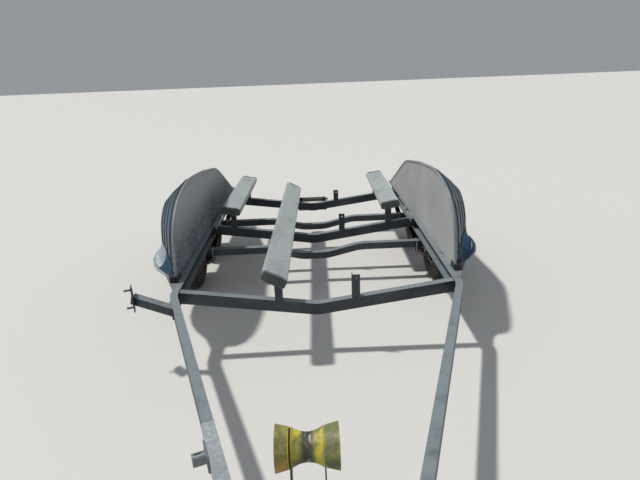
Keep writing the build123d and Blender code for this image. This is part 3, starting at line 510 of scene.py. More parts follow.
class Finish(Enum):
    """The trailer's finishes, by what they are on."""

    # Frame paint: near black on its sides and pale on its tops; the contrast is partly painted
    # shade and partly painted light.
    FRAME = Paint("weathered_frame_paint", (33, 41, 51), (138, 150, 157), top_fade_and_light=0.9, dust=0.3)
    SHELL = Paint("weathered_fender_paint", (30, 52, 70), (62, 90, 106), gloss=0.34, wear=0.2,
        dust=0.15, top_fade_and_light=0.35, shine=0.14)
    STEP = Paint("step_paint", (44, 88, 126), (62, 108, 140), gloss=0.6, wear=0.2, dust=0.0,
        top_fade_and_light=0.1, streaks=0.2, shine=0.04)
    # A painted highlight: the sun's glint on the edge of the right step.
    RUBBED = Paint("step_glint_paint", (206, 218, 232), (222, 230, 240), gloss=0.4, wear=0.1,
        dust=0.0)
    # The left step pad's pale chalky paint, paler than the right pad's paint partly as painted
    # sunlight.
    CHALKY = Paint("chalky_lit_step_paint", (146, 160, 170), (198, 208, 214), gloss=0.5, wear=0.3,
        dust=0.2, top_fade_and_light=0.9, mottle=0.25, shine=0.2)
    PANEL = Paint("dusty_inner_paint", (174, 176, 177), (188, 190, 190), (132, 130, 126), gloss=0.8,
        wear=0.2, dust=0.2, mottle=0.25, streaks=0.1, shine=0.3)
    # The left fender's inner wall: far darker than the right wall's paint, partly grime and partly
    # painted shade; paler towards the top.
    GRIMY = Paint("grimy_shaded_inner_paint", (78, 90, 104), (178, 184, 190), gloss=0.8, wear=0.4,
        dust=0.2, top_fade_and_light=0.85, mottle=0.65, streaks=0.0, shine=0.25, paler_higher=0.95,
        specks=(176, 172, 164))
    PLATE = Paint("dusty_plate_paint", (120, 122, 122), (142, 142, 140), gloss=0.7, wear=0.3,
        streaks=0.2)
    BEAD = Paint("bead_paint", (132, 136, 134), (158, 164, 164), (92, 90, 84), wear=0.25,
        mottle=0.4)
    SCUFFED = Paint("scuffed_galvanising", (148, 156, 160), (176, 184, 188), (110, 112, 112),
        gloss=0.5, wear=0.3, dust=0.15, mottle=0.6, streaks=0.2, specks=(206, 210, 212))
    # Dark iron paint; on each fender's foot block it is painted shade.
    IRON = Paint("dark_iron_paint", (36, 46, 56), (50, 60, 70), gloss=0.5, wear=0.3, dust=0.1,
        shine=0.3)
    # The steps' fronts: a darker blue as painted shade.
    FOOT = Paint("shaded_fender_front_paint", (45, 70, 92), (64, 88, 108), gloss=0.6, wear=0.3, dust=0.05,
        shine=0.06)
    ZINC = Zinc("dull_zinc")
    BRIGHT = Zinc("bright_zinc", (196, 200, 202), (150, 154, 156), 0.05)
    # Dark steel with dull brown rust, kept dark partly as painted shade.
    SPRING = Zinc("rusty_spring_steel", (62, 58, 56), (48, 44, 42), 0.5, (84, 62, 50))
    # Dark grey wheels: partly dust and partly painted shade under the fenders.
    RIM = Paint("dusty_shaded_wheel_paint", (84, 84, 82), (118, 116, 110), gloss=0.5, mottle=0.5)
    TYRE = Rubber("tyre_rubber")
    KEEL = Rubber("keel_rubber", (84, 84, 82), (132, 128, 120))
    BLACK = Rubber("plain_black_rubber", (24, 24, 25), (58, 56, 54))
    SEAM = Rubber("roller_seam_plastic", (58, 54, 28), (92, 86, 48))
    CARPET = Carpet("worn_carpet")
    # The bunks' folded ends: darker carpet as painted shade.
    FOLD = Carpet("shaded_folded_carpet", (96, 102, 102), (50, 54, 56))
    ROLLER = WornRoller("bow_roller_plastic")
    LENS = Plastic("red_lamp_lens", (150, 20, 18), (110, 14, 14), 0.18, 0.6)

    def material(self) -> bpy.types.Material:
        """Give the finish's material, built once."""
        return bpy.data.materials.get(self.value.name) or self.value.material()


# The finishes of each slot. The first is what the CAD's own nodes get.
SLOT_FINISHES = {
    "frame_paint": (Finish.FRAME,),
    "bare_zinc": (Finish.ZINC, Finish.BRIGHT, Finish.IRON, Finish.SCUFFED),
    "spring_steel": (Finish.SPRING,),
    "wheel_paint": (Finish.RIM,),
    "tyre": (Finish.TYRE,),
    "fender_paint": (Finish.SHELL, Finish.BEAD, Finish.STEP, Finish.CHALKY, Finish.RUBBED,
                     Finish.FOOT),
    "fender_inner_paint": (Finish.PANEL, Finish.GRIMY),
    "plate_paint": (Finish.PLATE,),
    "bunk_carpet": (Finish.CARPET, Finish.FOLD),
    "roller_plastic": (Finish.ROLLER,),
    "black_rubber": (Finish.KEEL, Finish.BLACK, Finish.SEAM),
    "lamp_lens": (Finish.LENS,),
}
NODE_FINISH = {"left_fender_panel": Finish.GRIMY, "bow_roller_bracket": Finish.IRON,
               "tongue_sleeve": Finish.SCUFFED}


def dress(piece: bpy.types.Object, finish: Finish) -> None:
    """Give a piece one finish all over."""
    piece.data.materials.clear()
    piece.data.materials.append(finish.material())


@dataclass
class Studio:
    """The pale floor, the soft lamps and the camera where the photographer stood."""

    floor_half: float = 60.0
    floor_colour: Triple = (226, 224, 220)
    camera_place: Triple = (-0.0098, -2.787, 1.7325)
    pitch: float = 19.65
    roll: float = -2.22
    yaw: float = 0.83
    sensor_mm: float = 36.0
    focal_px: float = 480.0
    frame_px: float = 640.0
    room_colour: Triple = (228, 234, 242)
    room_strength: float = 0.38
    key_colour: Triple = (1.0, 0.98, 0.94)
    key_strength: float = 2.3
    key_spread: float = 3.0
    key_from: Triple = (-0.49, 0.125, 1.0)

    def build(self) -> None:
        """Set up the floor, the light and the camera."""
        self.floor()
        self.light()
        self.camera()
        bpy.context.scene.view_settings.view_transform = "Standard"

    def floor(self) -> None:
        """Lay the floor at the height of the tyres' feet."""
        mesh = bpy.data.meshes.new("floor")
        made = bmesh.new()
        bmesh.ops.create_grid(made, x_segments=1, y_segments=1, size=self.floor_half)
        made.to_mesh(mesh)
        made.free()
        floor = put("floor", mesh)
        paint = Graph("floor")
        mesh.materials.append(paint.done(Base_Color=tint(self.floor_colour), Roughness=0.9))

    def light(self) -> None:
        """Light the pale room softly, with one broad even lamp high on the left."""
        world = bpy.data.worlds.new("room")
        bpy.context.scene.world = world
        world.use_nodes = True
        backdrop = world.node_tree.nodes["Background"]
        backdrop.inputs["Color"].default_value = tint(self.room_colour)
        backdrop.inputs["Strength"].default_value = self.room_strength
        data = bpy.data.lights.new("key_lamp", "SUN")
        data.energy = self.key_strength
        data.angle = math.radians(self.key_spread)
        data.color = self.key_colour
        lamp = put("key_lamp", data)
        lamp.rotation_euler = (-Vector(self.key_from)).to_track_quat("-Z", "Y").to_euler()

    def camera(self) -> None:
        """Place the camera at the photograph's angle."""
        data = bpy.data.cameras.new("camera")
        data.sensor_width = self.sensor_mm
        data.lens = self.sensor_mm * self.focal_px / self.frame_px
        camera = put("camera", data)
        pitch, roll, yaw = (math.radians(a) for a in (self.pitch, self.roll, self.yaw))
        level = Vector((math.cos(yaw), -math.sin(yaw), 0))
        ahead = Vector((math.sin(yaw), math.cos(yaw), 0))
        forward = math.cos(pitch) * ahead - math.sin(pitch) * UP
        right = math.cos(roll) * level + math.sin(roll) * level.cross(forward)
        turn = Matrix((right, right.cross(forward), -forward)).transposed().to_4x4()
        camera.matrix_world = Matrix.Translation(self.camera_place) @ turn
        bpy.context.scene.camera = camera


class Piece:
    """One mesh piece, put together from bmesh operators, then dressed and mounted on a body."""

    WASHER_HIGH = 0.0022
    WASHER_R, NUT_HIGH, TIP_R, TIP_HIGH = 0.85, 0.62, 0.33, 0.2  # Shares of a nut's width.

    def __init__(self, name: str, finish: Finish, body: str = "frame") -> None:
        """Start an empty piece, which will have this finish and move with this CAD body."""
        self.name, self.finish, self.body = name, finish, body
        self.made = bmesh.new()

    def block(self, size: Place, centre: Place, turn: Matrix | None = None) -> None:
        """Add a box of this size round a centre, turned if asked."""
        place = Matrix.Translation(centre) @ (turn or Matrix()) @ Matrix.Diagonal((*size, 1.0))
        bmesh.ops.create_cube(self.made, size=1.0, matrix=place)

    def rod(self, radius: float, length: float, foot: Place,
            axis: Place = (0, 0, 1), sides: int = 20, taper: float = 1.0) -> None:
        """Add a round or faceted bar.

        Args:
            radius: Its radius at the foot.
            length: How long it is.
            foot: The middle of its first end.
            axis: The direction it runs in.
            sides: How many sides it has.
            taper: The far radius as a share of the first.
        """
        along = Vector(axis).normalized()
        place = aimed(Vector(foot) + along * length / 2, along)
        bmesh.ops.create_cone(self.made, cap_ends=True, segments=sides, radius1=radius,
                              radius2=radius * taper, depth=length, matrix=place)

    def stack(self, foot: Place, axis: Place, rows: Points) -> None:
        """Add bars on one axis.

        Args:
            foot: The point of the axis that distances count from.
            axis: The axis.
            rows: The start, radius, length, number of sides and taper of each bar.
        """
        along = Vector(axis).normalized()
        for start, radius, length, sides, taper in rows:
            self.rod(radius, length, Vector(foot) + along * start, axis, sides, taper)

    def bolt(self, foot: Place, axis: Place = (0, 0, 1), across: float = 0.019) -> None:
        """Add a washer, a hexagon nut and the tip of its bolt, standing on a face.

        Args:
            foot: The point of the face.
            axis: The direction that the face looks in.
            across: The nut's size across its flats.
        """
        washer, high = self.WASHER_HIGH, across * self.NUT_HIGH
        self.stack(foot, axis, (
            (0.0, across * self.WASHER_R, washer, 20, 1.0), (washer, across * HEX, high, 6, 1.0),
            (washer + high, across * self.TIP_R, across * self.TIP_HIGH, 12, 0.8)))

    def lathe(self, profile: Points, centre: Place, axis: Place,
              steps: int = 40, closed: bool = False) -> None:
        """Turn an outline round an axis.

        Args:
            profile: Points of the outline, each its radius and its distance along the axis.
            centre: The point of the axis that distances count from.
            axis: The axis.
            steps: How many sides the turned shape has.
            closed: Whether the last point joins the first.
        """
        turned = bmesh.new()
        points = [turned.verts.new((radius, 0, along)) for radius, along in profile]
        pairs = list(zip(points, points[1:])) + ([(points[-1], points[0])] if closed else [])
        lines = [turned.edges.new(pair) for pair in pairs]
        bmesh.ops.spin(turned, geom=points + lines, cent=(0, 0, 0), axis=UP, steps=steps,
                       angle=2 * math.pi, use_merge=True)
        bmesh.ops.remove_doubles(turned, verts=turned.verts, dist=MERGE)
        bmesh.ops.transform(turned, matrix=aimed(centre, axis), verts=turned.verts)
        self.take(turned)

    def take(self, other: bmesh.types.BMesh) -> None:
        """Add another mesh's faces and free it.

        Args:
            other: The mesh.
        """
        passed = bpy.data.meshes.new("passed")
        other.to_mesh(passed)
        other.free()
        self.made.from_mesh(passed)
        bpy.data.meshes.remove(passed)

    def wire(self, points: Points, radius: float, sides: int = 2) -> None:
        """Add a round bar along a path.

        Args:
            points: The path.
            radius: The bar's radius.
            sides: How finely it is rounded.
        """
        path = bpy.data.curves.new("path", "CURVE")
        path.dimensions, path.use_fill_caps = "3D", True
        path.bevel_depth, path.bevel_resolution = radius, sides
        line = path.splines.new("POLY")
        line.points.add(len(points) - 1)
        for point, place in zip(line.points, points):
            point.co = (*place, 1.0)
        holder = bpy.data.objects.new("path", path)
        swept = bpy.data.meshes.new_from_object(holder)
        self.made.from_mesh(swept)
        bpy.data.objects.remove(holder)
        bpy.data.meshes.remove(swept)
        bpy.data.curves.remove(path)

    def done(self, bevel: float = 0.0, stands_for: Iterable[str] = ()) -> bpy.types.Object:
        """Finish the piece.

        Args:
            bevel: The width of the rounding of its edges.
            stands_for: The CAD nodes that it replaces.

        Returns:
            The piece's object.
        """
        bmesh.ops.recalc_face_normals(self.made, faces=self.made.faces)
        mesh = bpy.data.meshes.new(self.name)
        self.made.to_mesh(mesh)
        self.made.free()
        mesh.shade_smooth()
        mesh.set_sharp_from_angle(angle=math.radians(SHARP_DEGREES))
        piece = put(self.name, mesh)
        dress(piece, self.finish)
        if bevel:
            rounding = piece.modifiers.new("rounding", "BEVEL")
            rounding.width, rounding.segments, rounding.limit_method = bevel, 2, "ANGLE"
        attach(piece, self.body)
        if stands_for:
            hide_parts(*stands_for)
        LOG.info("built %s, %d faces", self.name, len(mesh.polygons))
        return piece


@dataclass
class Wheel:
    """A treaded tyre and the fittings of its wheel."""

    name: str
    side: float
    y: float
    steps: int = 96
    half: Table = (
        (0.1795, 0.065), (0.182, 0.0678), (0.187, 0.069), (0.19, 0.0718), (0.194, 0.0718),
        (0.198, 0.0724), (0.211, 0.077), (0.228, 0.0795), (0.244, 0.0796), (0.254, 0.0788),
        (0.2555, 0.0799), (0.261, 0.0788), (0.2625, 0.077), (0.277, 0.0732), (0.281, 0.0726),
        (0.287, 0.0695), (0.2915, 0.065), (0.294, 0.0585))
    bead: Table = ((0.179, -0.056), (0.1663, -0.053), (0.1663, 0.053), (0.179, 0.056))
    ribs: Table = ((-0.053, -0.036), (-0.031, -0.012), (-0.0075, 0.0075), (0.012, 0.031),
                   (0.036, 0.053))
    tread_base: float = 0.294
    tread_slack: float = 0.002
    block_gap: float = 0.0017
    block_height: float = 0.005
    nuts: int = 5
    nut_face: float = 0.0018
    nut_rows: Table = ((0.0, 0.0125, 0.005, 18, 0.9), (0.005, 0.011, 0.013, 6, 1.0),
                       (0.018, 0.006, 0.008, 12, 0.8))
    dome: Table = ((0.0, 0.064), (0.009, 0.0632), (0.017, 0.06), (0.0225, 0.0545),
                   (0.0245, 0.05), (0.0265, 0.0492), (0.0268, 0.0462))
    valve_r: float = 0.1522
    valve_face: float = 0.018
    valve_lean: float = 0.25
    valve_rows: Table = ((0.0, 0.0065, 0.008, 14, 0.8), (0.0, 0.0038, 0.03, 12, 1.0),
                         (0.026, 0.0046, 0.01, 12, 1.0))

    @property
    def centre(self) -> Vector:
        """The middle of the tyre."""
        return Vector((self.side * WHEEL_X, self.y, WHEEL_R))

    @property
    def body(self) -> str:
        """The body that the wheel is."""
        return self.name + "_wheel_assembly"

    def build(self) -> None:
        """Build the tyre and the fittings."""
        self.tyre()
        self.fittings()

    def tyre(self) -> None:
        """Turn the tyre's outline, then raise the blocks of its tread."""
        tread = [(self.tread_base, edge) for rib in reversed(self.ribs) for edge in reversed(rib)]
        inner = [(radius, -along) for radius, along in reversed(self.half)]
        tyre = Piece(self.name + "_treaded_tyre", Finish.TYRE, self.body)
        tyre.lathe([*self.half, *tread, *inner, *self.bead], self.centre, (self.side, 0, 0),
                   self.steps, closed=True)
        bmesh.ops.recalc_face_normals(tyre.made, faces=tyre.made.faces)
        blocks = [face for face in tyre.made.faces if self.on_rib(face.calc_center_median())]
        bmesh.ops.inset_individual(tyre.made, faces=blocks, thickness=self.block_gap,
                                   depth=self.block_height)
        tyre.done(stands_for=[self.name + "_tyre"])

    def on_rib(self, point: Vector) -> bool:
        """Tell whether a point of the tyre is on a rib of its tread.

        Args:
            point: The point, in the frame.

        Returns:
            Whether it is.
        """
        away = point - self.centre
        along = self.side * away.x
        radius = math.hypot(away.y, away.z)
        on_tread = radius > self.tread_base - self.tread_slack
        return on_tread and any(low < along < high for low, high in self.ribs)

    def fittings(self) -> None:
        """Add the wheel nuts, the dust cap and the valve."""
        out = Vector((self.side, 0, 0))
        nuts = Piece(self.name + "_wheel_nuts", Finish.ZINC, self.body)
        for count in range(self.nuts):
            angle = 2 * math.pi * (count + 0.25) / self.nuts
            radial = Vector((0, math.sin(angle), math.cos(angle)))
            spot = self.centre + radial * NUT_CIRCLE + out * self.nut_face
            nuts.stack(spot, out, self.nut_rows)
        nuts.done(0.0008)
        cap = Piece(self.name + "_dust_cap", Finish.BRIGHT, self.body)
        cap.lathe(self.dome, self.centre, out)
        cap.done()
        valve = Piece(self.name + "_valve", Finish.BLACK, self.body)
        spot = self.centre + UP * self.valve_r + out * self.valve_face
        valve.stack(spot, out - UP * self.valve_lean, self.valve_rows)
        valve.done()


@dataclass
class RunningGear:
    """The U-bolts, tie plates and pin nuts of one side's springs."""

    side_name: str
    side: float
    spring_x: float = 0.895
    spring_half: float = 0.0225
    axle_half: float = 0.028
    pack_low: float = 0.2331
    tie_plate: Triple = (0.08, 0.1, 0.008)
    tie_bolt: Pair = (0.008, 0.007)
    bolt_r: float = 0.006
    bolt_bend: float = 0.012
    thread: float = 0.02
    gap: float = 0.0005
    nut: float = 0.018
    eye_z: float = 0.329
    eye_reach: float = 0.32
    eye_half: float = 0.0295
    equalizer_half: float = 0.0365
    pin_head: float = 0.022
    pin_nut: float = 0.016
    pin_high: float = 0.007

    def build(self) -> None:
        """Add what clamps the springs and what pins them."""
        self.clamps(self.side * self.spring_x)
        self.pins(self.side * self.spring_x)

    def clamps(self, x: float) -> None:
        """Clamp the springs to their axles.

        Args:
            x: Where the springs stand across the trailer.
        """
        clamps = Piece(self.side_name + "_spring_clamps", Finish.ZINC)
        low = self.pack_low - self.tie_plate[2]
        top, end = WHEEL_R + self.axle_half + self.bolt_r, low - self.thread
        reach, half = (size + self.bolt_r + self.gap for size in (self.axle_half, self.spring_half))
        for y in AXLES.values():
            clamps.block(self.tie_plate, (x, y, low + self.tie_plate[2] / 2))
            for across in (x - half, x + half):
                legs = [(across, y + way * reach, z)
                        for way, z in ((-1, end), (-1, top), (1, top), (1, end))]
                clamps.wire(rounded(legs, self.bolt_bend), self.bolt_r)
                for way in WAYS:
                    clamps.bolt((across, y + way * reach, low), DOWN, self.nut)
            clamps.rod(*self.tie_bolt, (x, y, low), DOWN, 16)
        clamps.done(0.001)

    def pins(self, x: float) -> None:
        """Head and nut the pins of the springs and the equalizer.

        Args:
            x: Where they stand across the trailer.
        """
        pins = Piece(self.side_name + "_spring_pins", Finish.SPRING)
        eyes = [(y + way * self.eye_reach, self.eye_half) for y in AXLES.values() for way in WAYS]
        for y, half in [*eyes, (sum(AXLES.values()) / 2, self.equalizer_half)]:
            for way in WAYS:
                size = self.pin_head if way * self.side < 0 else self.pin_nut
                pins.rod(size * HEX, self.pin_high, (x + way * half, y, self.eye_z), (way, 0, 0), 6)
        pins.done(0.0006)


@dataclass
class Fender:
    """The bead, the step, the creases and the rolled edges of one fender."""

    side_name: str
    side: float
    wall_x: float = 0.905
    crown_x: float = 0.95
    ridge_x: float = 1.15
    wall: Table = (
        (0.195, 0.0, 0.0), (0.262, 0.33, 0.32), (0.43, 0.46, 0.4), (0.76, 0.547, 1.2),
        (1.3, 0.5, 3.0), (1.885, 0.412, 0.9), (2.76, 0.0, 0.0))
    crown: Table = (
        (0.265, 0.0, 0.0), (0.335, 0.3, 0.32), (0.49, 0.44, 0.4), (0.79, 0.525, 1.05),
        (1.31, 0.48, 3.0), (1.895, 0.392, 0.9), (2.735, 0.0, 0.0))
    ridge: Table = (
        (0.75, 0.0, 0.0), (0.8, 0.225, 0.22), (0.95, 0.335, 0.26), (1.25, 0.352, 1.5),
        (1.7, 0.315, 1.5), (2.08, 0.225, 0.6), (2.56, 0.0, 0.0))
    curve_steps: int = 12
    bead_r: float = 0.0095
    creases: Row = (0.0, 0.3, 0.58, 0.84)
    crease_r: float = 0.0045
    plate: Table = ((1.006, 0.316), (1.091, 0.421), (1.145, 0.522), (1.184, 0.641), (1.199, 0.761),
                    (1.199, 0.832), (1.17, 0.88), (0.95, 0.881))
    lip: Table = ((0.953, 0.268), (1.146, 0.752), (1.146, 2.556), (0.953, 2.73))
    pad_rim: Table = (
        (0.912, 0.215, 0.006), (0.99, 0.318, 0.006), (1.082, 0.434, 0.006), (1.137, 0.53, 0.006),
        (1.176, 0.648, 0.006), (1.19, 0.761, 0.006), (1.19, 0.832, 0.006), (1.166, 0.868, 0.006))
    pad_root: Table = (
        (0.915, 0.232, 0.1), (0.949, 0.29, 0.105), (1.02, 0.461, 0.11), (1.08, 0.606, 0.11),
        (1.148, 0.771, 0.11), (1.149, 0.82, 0.095), (1.149, 0.868, 0.06))
    pad_corner: float = 0.12
    pad_start: float = 0.4
    pad_thick: float = 0.003
    pad_lift: float = 0.005
    hollow: Pair = (0.72, 0.12)
    foot_shade_size: Triple = (0.051, 0.0865, 0.042)
    foot_shade_place: Triple = (0.92, 0.227, 0.0215)
    foot_shade_splay: float = 0.03
    glint_place: Pair = (0.63, 0.15)
    glint_half: Pair = (0.14, 0.05)
    glint_lift: Triple = (0.0008, 0.0, 0.0016)
    glint_thick: float = 0.001

    def build(self) -> None:
        """Add the wall's bead, the step, the creases and the plate's and the shell's edges."""
        bead = Piece(self.side_name + "_fender_bead", Finish.BEAD)
        bead.wire(self.outline(self.wall, self.wall_x), self.bead_r, 3)
        bead.done()
        self.step()
        self.pressings()
        # The plate's rolled edge takes the pale chalky paint as a painted highlight.
        for part, finish, edge, rise, corner, radius in (
                ("_plate_roll", Finish.CHALKY, self.plate, -0.003, 0.05, 0.006),
                ("_fender_lip", Finish.SHELL, self.lip, 0.003, 0.03, 0.004)):
            roll = Piece(self.side_name + part, finish)
            roll.wire(rounded([self.place(x, d, rise) for x, d in edge], corner), radius)
            roll.done()

    def place(self, x: float, distance: float, rise: float) -> Vector:
        """Give the point at a width, a distance behind the bend and a height above the rails."""
        return Vector((self.side * x, back(distance), RAIL_TOP + rise))

    def step(self) -> None:
        """Draw the shell out into the step: a front painted darker blue as shade, the pad behind
        it, and a dark foot block painted in as the shade of the undercut there.
        """
        # The left pad gets a paler paint than the right, partly chalking and partly painted
        # sunlight.
        finish = Finish.CHALKY if self.side < 0 else Finish.STEP
        for part, finish, start, stop in (("_step_front", Finish.FOOT, 0.0, self.pad_start),
                                          ("_step_pad", finish, self.pad_start, 1.0)):
            pad = Piece(self.side_name + part, finish)
            bmesh.ops.create_grid(pad.made, x_segments=24, y_segments=12, size=1.0)
            for vert in pad.made.verts:
                along, rise = ((share + 1) / 2 for share in vert.co.xy)
                vert.co = self.pad_point(start + (stop - start) * along, rise)
            bmesh.ops.solidify(pad.made, geom=pad.made.faces[:], thickness=self.pad_thick)
            bmesh.ops.recalc_face_normals(pad.made, faces=pad.made.faces[:])
            pad.done()
        # A dark block at the front foot of the wall: painted shade of the undercut there.
        foot = Piece(self.side_name + "_fender_foot_shade", Finish.IRON)
        foot.block(self.foot_shade_size, self.place(*self.foot_shade_place))
        for vert in foot.made.verts:
            if abs(vert.co.x) > self.foot_shade_place[0] and vert.co.y > back(self.foot_shade_place[1]):
                vert.co.x += self.side * self.foot_shade_splay
        foot.done(0.004)
        if self.side > 0:
            self.paint_glint()

    def paint_glint(self) -> None:
        """Paint a pale strip on the right step: a painted highlight, the sun's glint on its edge.
        """
        paint_glint = Piece("right_step_glint", Finish.RUBBED)
        bmesh.ops.create_grid(paint_glint.made, x_segments=16, y_segments=3, size=1.0)
        for vert in paint_glint.made.verts:
            along = self.glint_place[0] + vert.co.x * self.glint_half[0]
            rise = self.glint_place[1] + vert.co.y * self.glint_half[1] * (1 - vert.co.x ** 2)
            vert.co = self.pad_point(along, rise) + Vector(self.glint_lift)
        bmesh.ops.remove_doubles(paint_glint.made, verts=paint_glint.made.verts, dist=0.0002)
        bmesh.ops.solidify(paint_glint.made, geom=paint_glint.made.faces[:], thickness=self.glint_thick)
        paint_glint.done()

    def pad_point(self, along: float, rise: float) -> Vector:
        """Give a point of the step's hollow top.

        Args:
            along: How far round the fender it is, from 0 at the wall to 1 at the rear.
            rise: How far up it is, from 0 at the rim to 1 on the shell.

        Returns:
            The point.
        """
        rim, root = self.spot(self.pad_rim, along), self.spot(self.pad_root, along)
        root += Vector((rim.x - root.x, rim.y - root.y, 0)).normalized() * self.pad_lift
        corner = rim.lerp(root, self.hollow[0])
        corner.z = rim.z + self.hollow[1] * (root.z - rim.z)
        return curve(rim, corner, root, rise)

    def spot(self, table: Table, along: float) -> Vector:
        """Find a place on the edge of the step pad.

        Args:
            table: The edge's corners, each its width, distance and height.
            along: The share of the way along the edge.

        Returns:
            The place.
        """
        points = rounded([self.place(*row) for row in table], self.pad_corner, 5)
        steps = [(b - a).length for a, b in zip(points, points[1:])]
        left = along * sum(steps)
        for first, second, step in zip(points, points[1:], steps):
            if left <= step:
                return first.lerp(second, left / step)
            left -= step
        return points[-1]

    def pressings(self) -> None:
        """Press long creases into the shell, from its crown out to its ridge."""
        creases = Piece(self.side_name + "_shell_creases", Finish.SHELL)
        crown = self.outline(self.crown, self.crown_x)
        ridge = self.outline(self.ridge, self.ridge_x)
        for share in self.creases:
            creases.wire([a.lerp(b, share) for a, b in zip(crown, ridge)], self.crease_r)
        creases.done()

    def outline(self, corners: Table, x: float) -> list[Vector]:
        """Give an outline of the fender at one distance from the middle.

        Args:
            corners: Each corner's distance behind the bend, height above the rails and radius.
            x: The distance from the middle.

        Returns:
            The points of the outline, as many for each corner whatever its radius.
        """
        places = [self.place(x, distance, rise) for distance, rise, _ in corners]
        path = [places[0]]
        for before, corner, after, row in zip(places, places[1:], places[2:], corners[1:]):
            ways = (before - corner).normalized(), (after - corner).normalized()
            reach = row[2] / math.tan(ways[0].angle(ways[1]) / 2)
            start, stop = (corner + way * reach for way in ways)
            path += [curve(start, corner, stop, count / self.curve_steps)
                     for count in range(self.curve_steps + 1)]
        return [*path, places[-1]]


@dataclass
class TailLamp:
    """The rim, the ribs and the screws of one tail lamp."""

    side_name: str
    side: float
    size: Triple = (0.15, 0.036, 0.085)
    middle_z: float = 0.417
    tail: float = 2.725
    rim_thick: float = 0.007
    rim_deep: float = 0.022
    rim_in: float = 0.003
    back_thick: float = 0.003
    back_y: float = 0.037
    back_gap: float = 0.01
    ribs: int = 15
    rib_pitch: float = 0.009
    rib_r: float = 0.0022
    rib_gap: float = 0.018
    screw_x: float = 0.0665

    def build(self) -> None:
        """Add the black housing rim, the lens ribs and two screws."""
        wide, _, high = self.size
        x, y, z = self.side * (rail_outer(self.tail) + wide / 2), self.tail, self.middle_z
        rim = Piece(self.side_name + "_lamp_rim", Finish.BLACK)
        for way in WAYS:
            over, beside = way * (high / 2 - self.rim_in), way * (wide / 2 - self.rim_in)
            rim.block((wide, self.rim_deep, self.rim_thick), (x, y - self.rim_deep, z + over))
            rim.block((self.rim_thick, self.rim_deep, high), (x + beside, y - self.rim_deep, z))
        rim.block((wide - self.back_gap, self.back_thick, high - self.back_gap),
                  (x, y - self.back_y, z))
        rim.done(0.0015)
        ribs = Piece(self.side_name + "_lens_ribs", Finish.LENS)
        tall = high - self.rib_gap
        for count in range(self.ribs):
            along = (count - (self.ribs - 1) / 2) * self.rib_pitch
            ribs.rod(self.rib_r, tall, (x + along, y, z - tall / 2), UP, 10)
        ribs.done()
        screws = Piece(self.side_name + "_lamp_screws", Finish.BRIGHT)
        for way in WAYS:
            screws.rod(0.0045, 0.003, (x + way * self.screw_x, y, z), (0, 1, 0), 14, 0.7)
        screws.done()


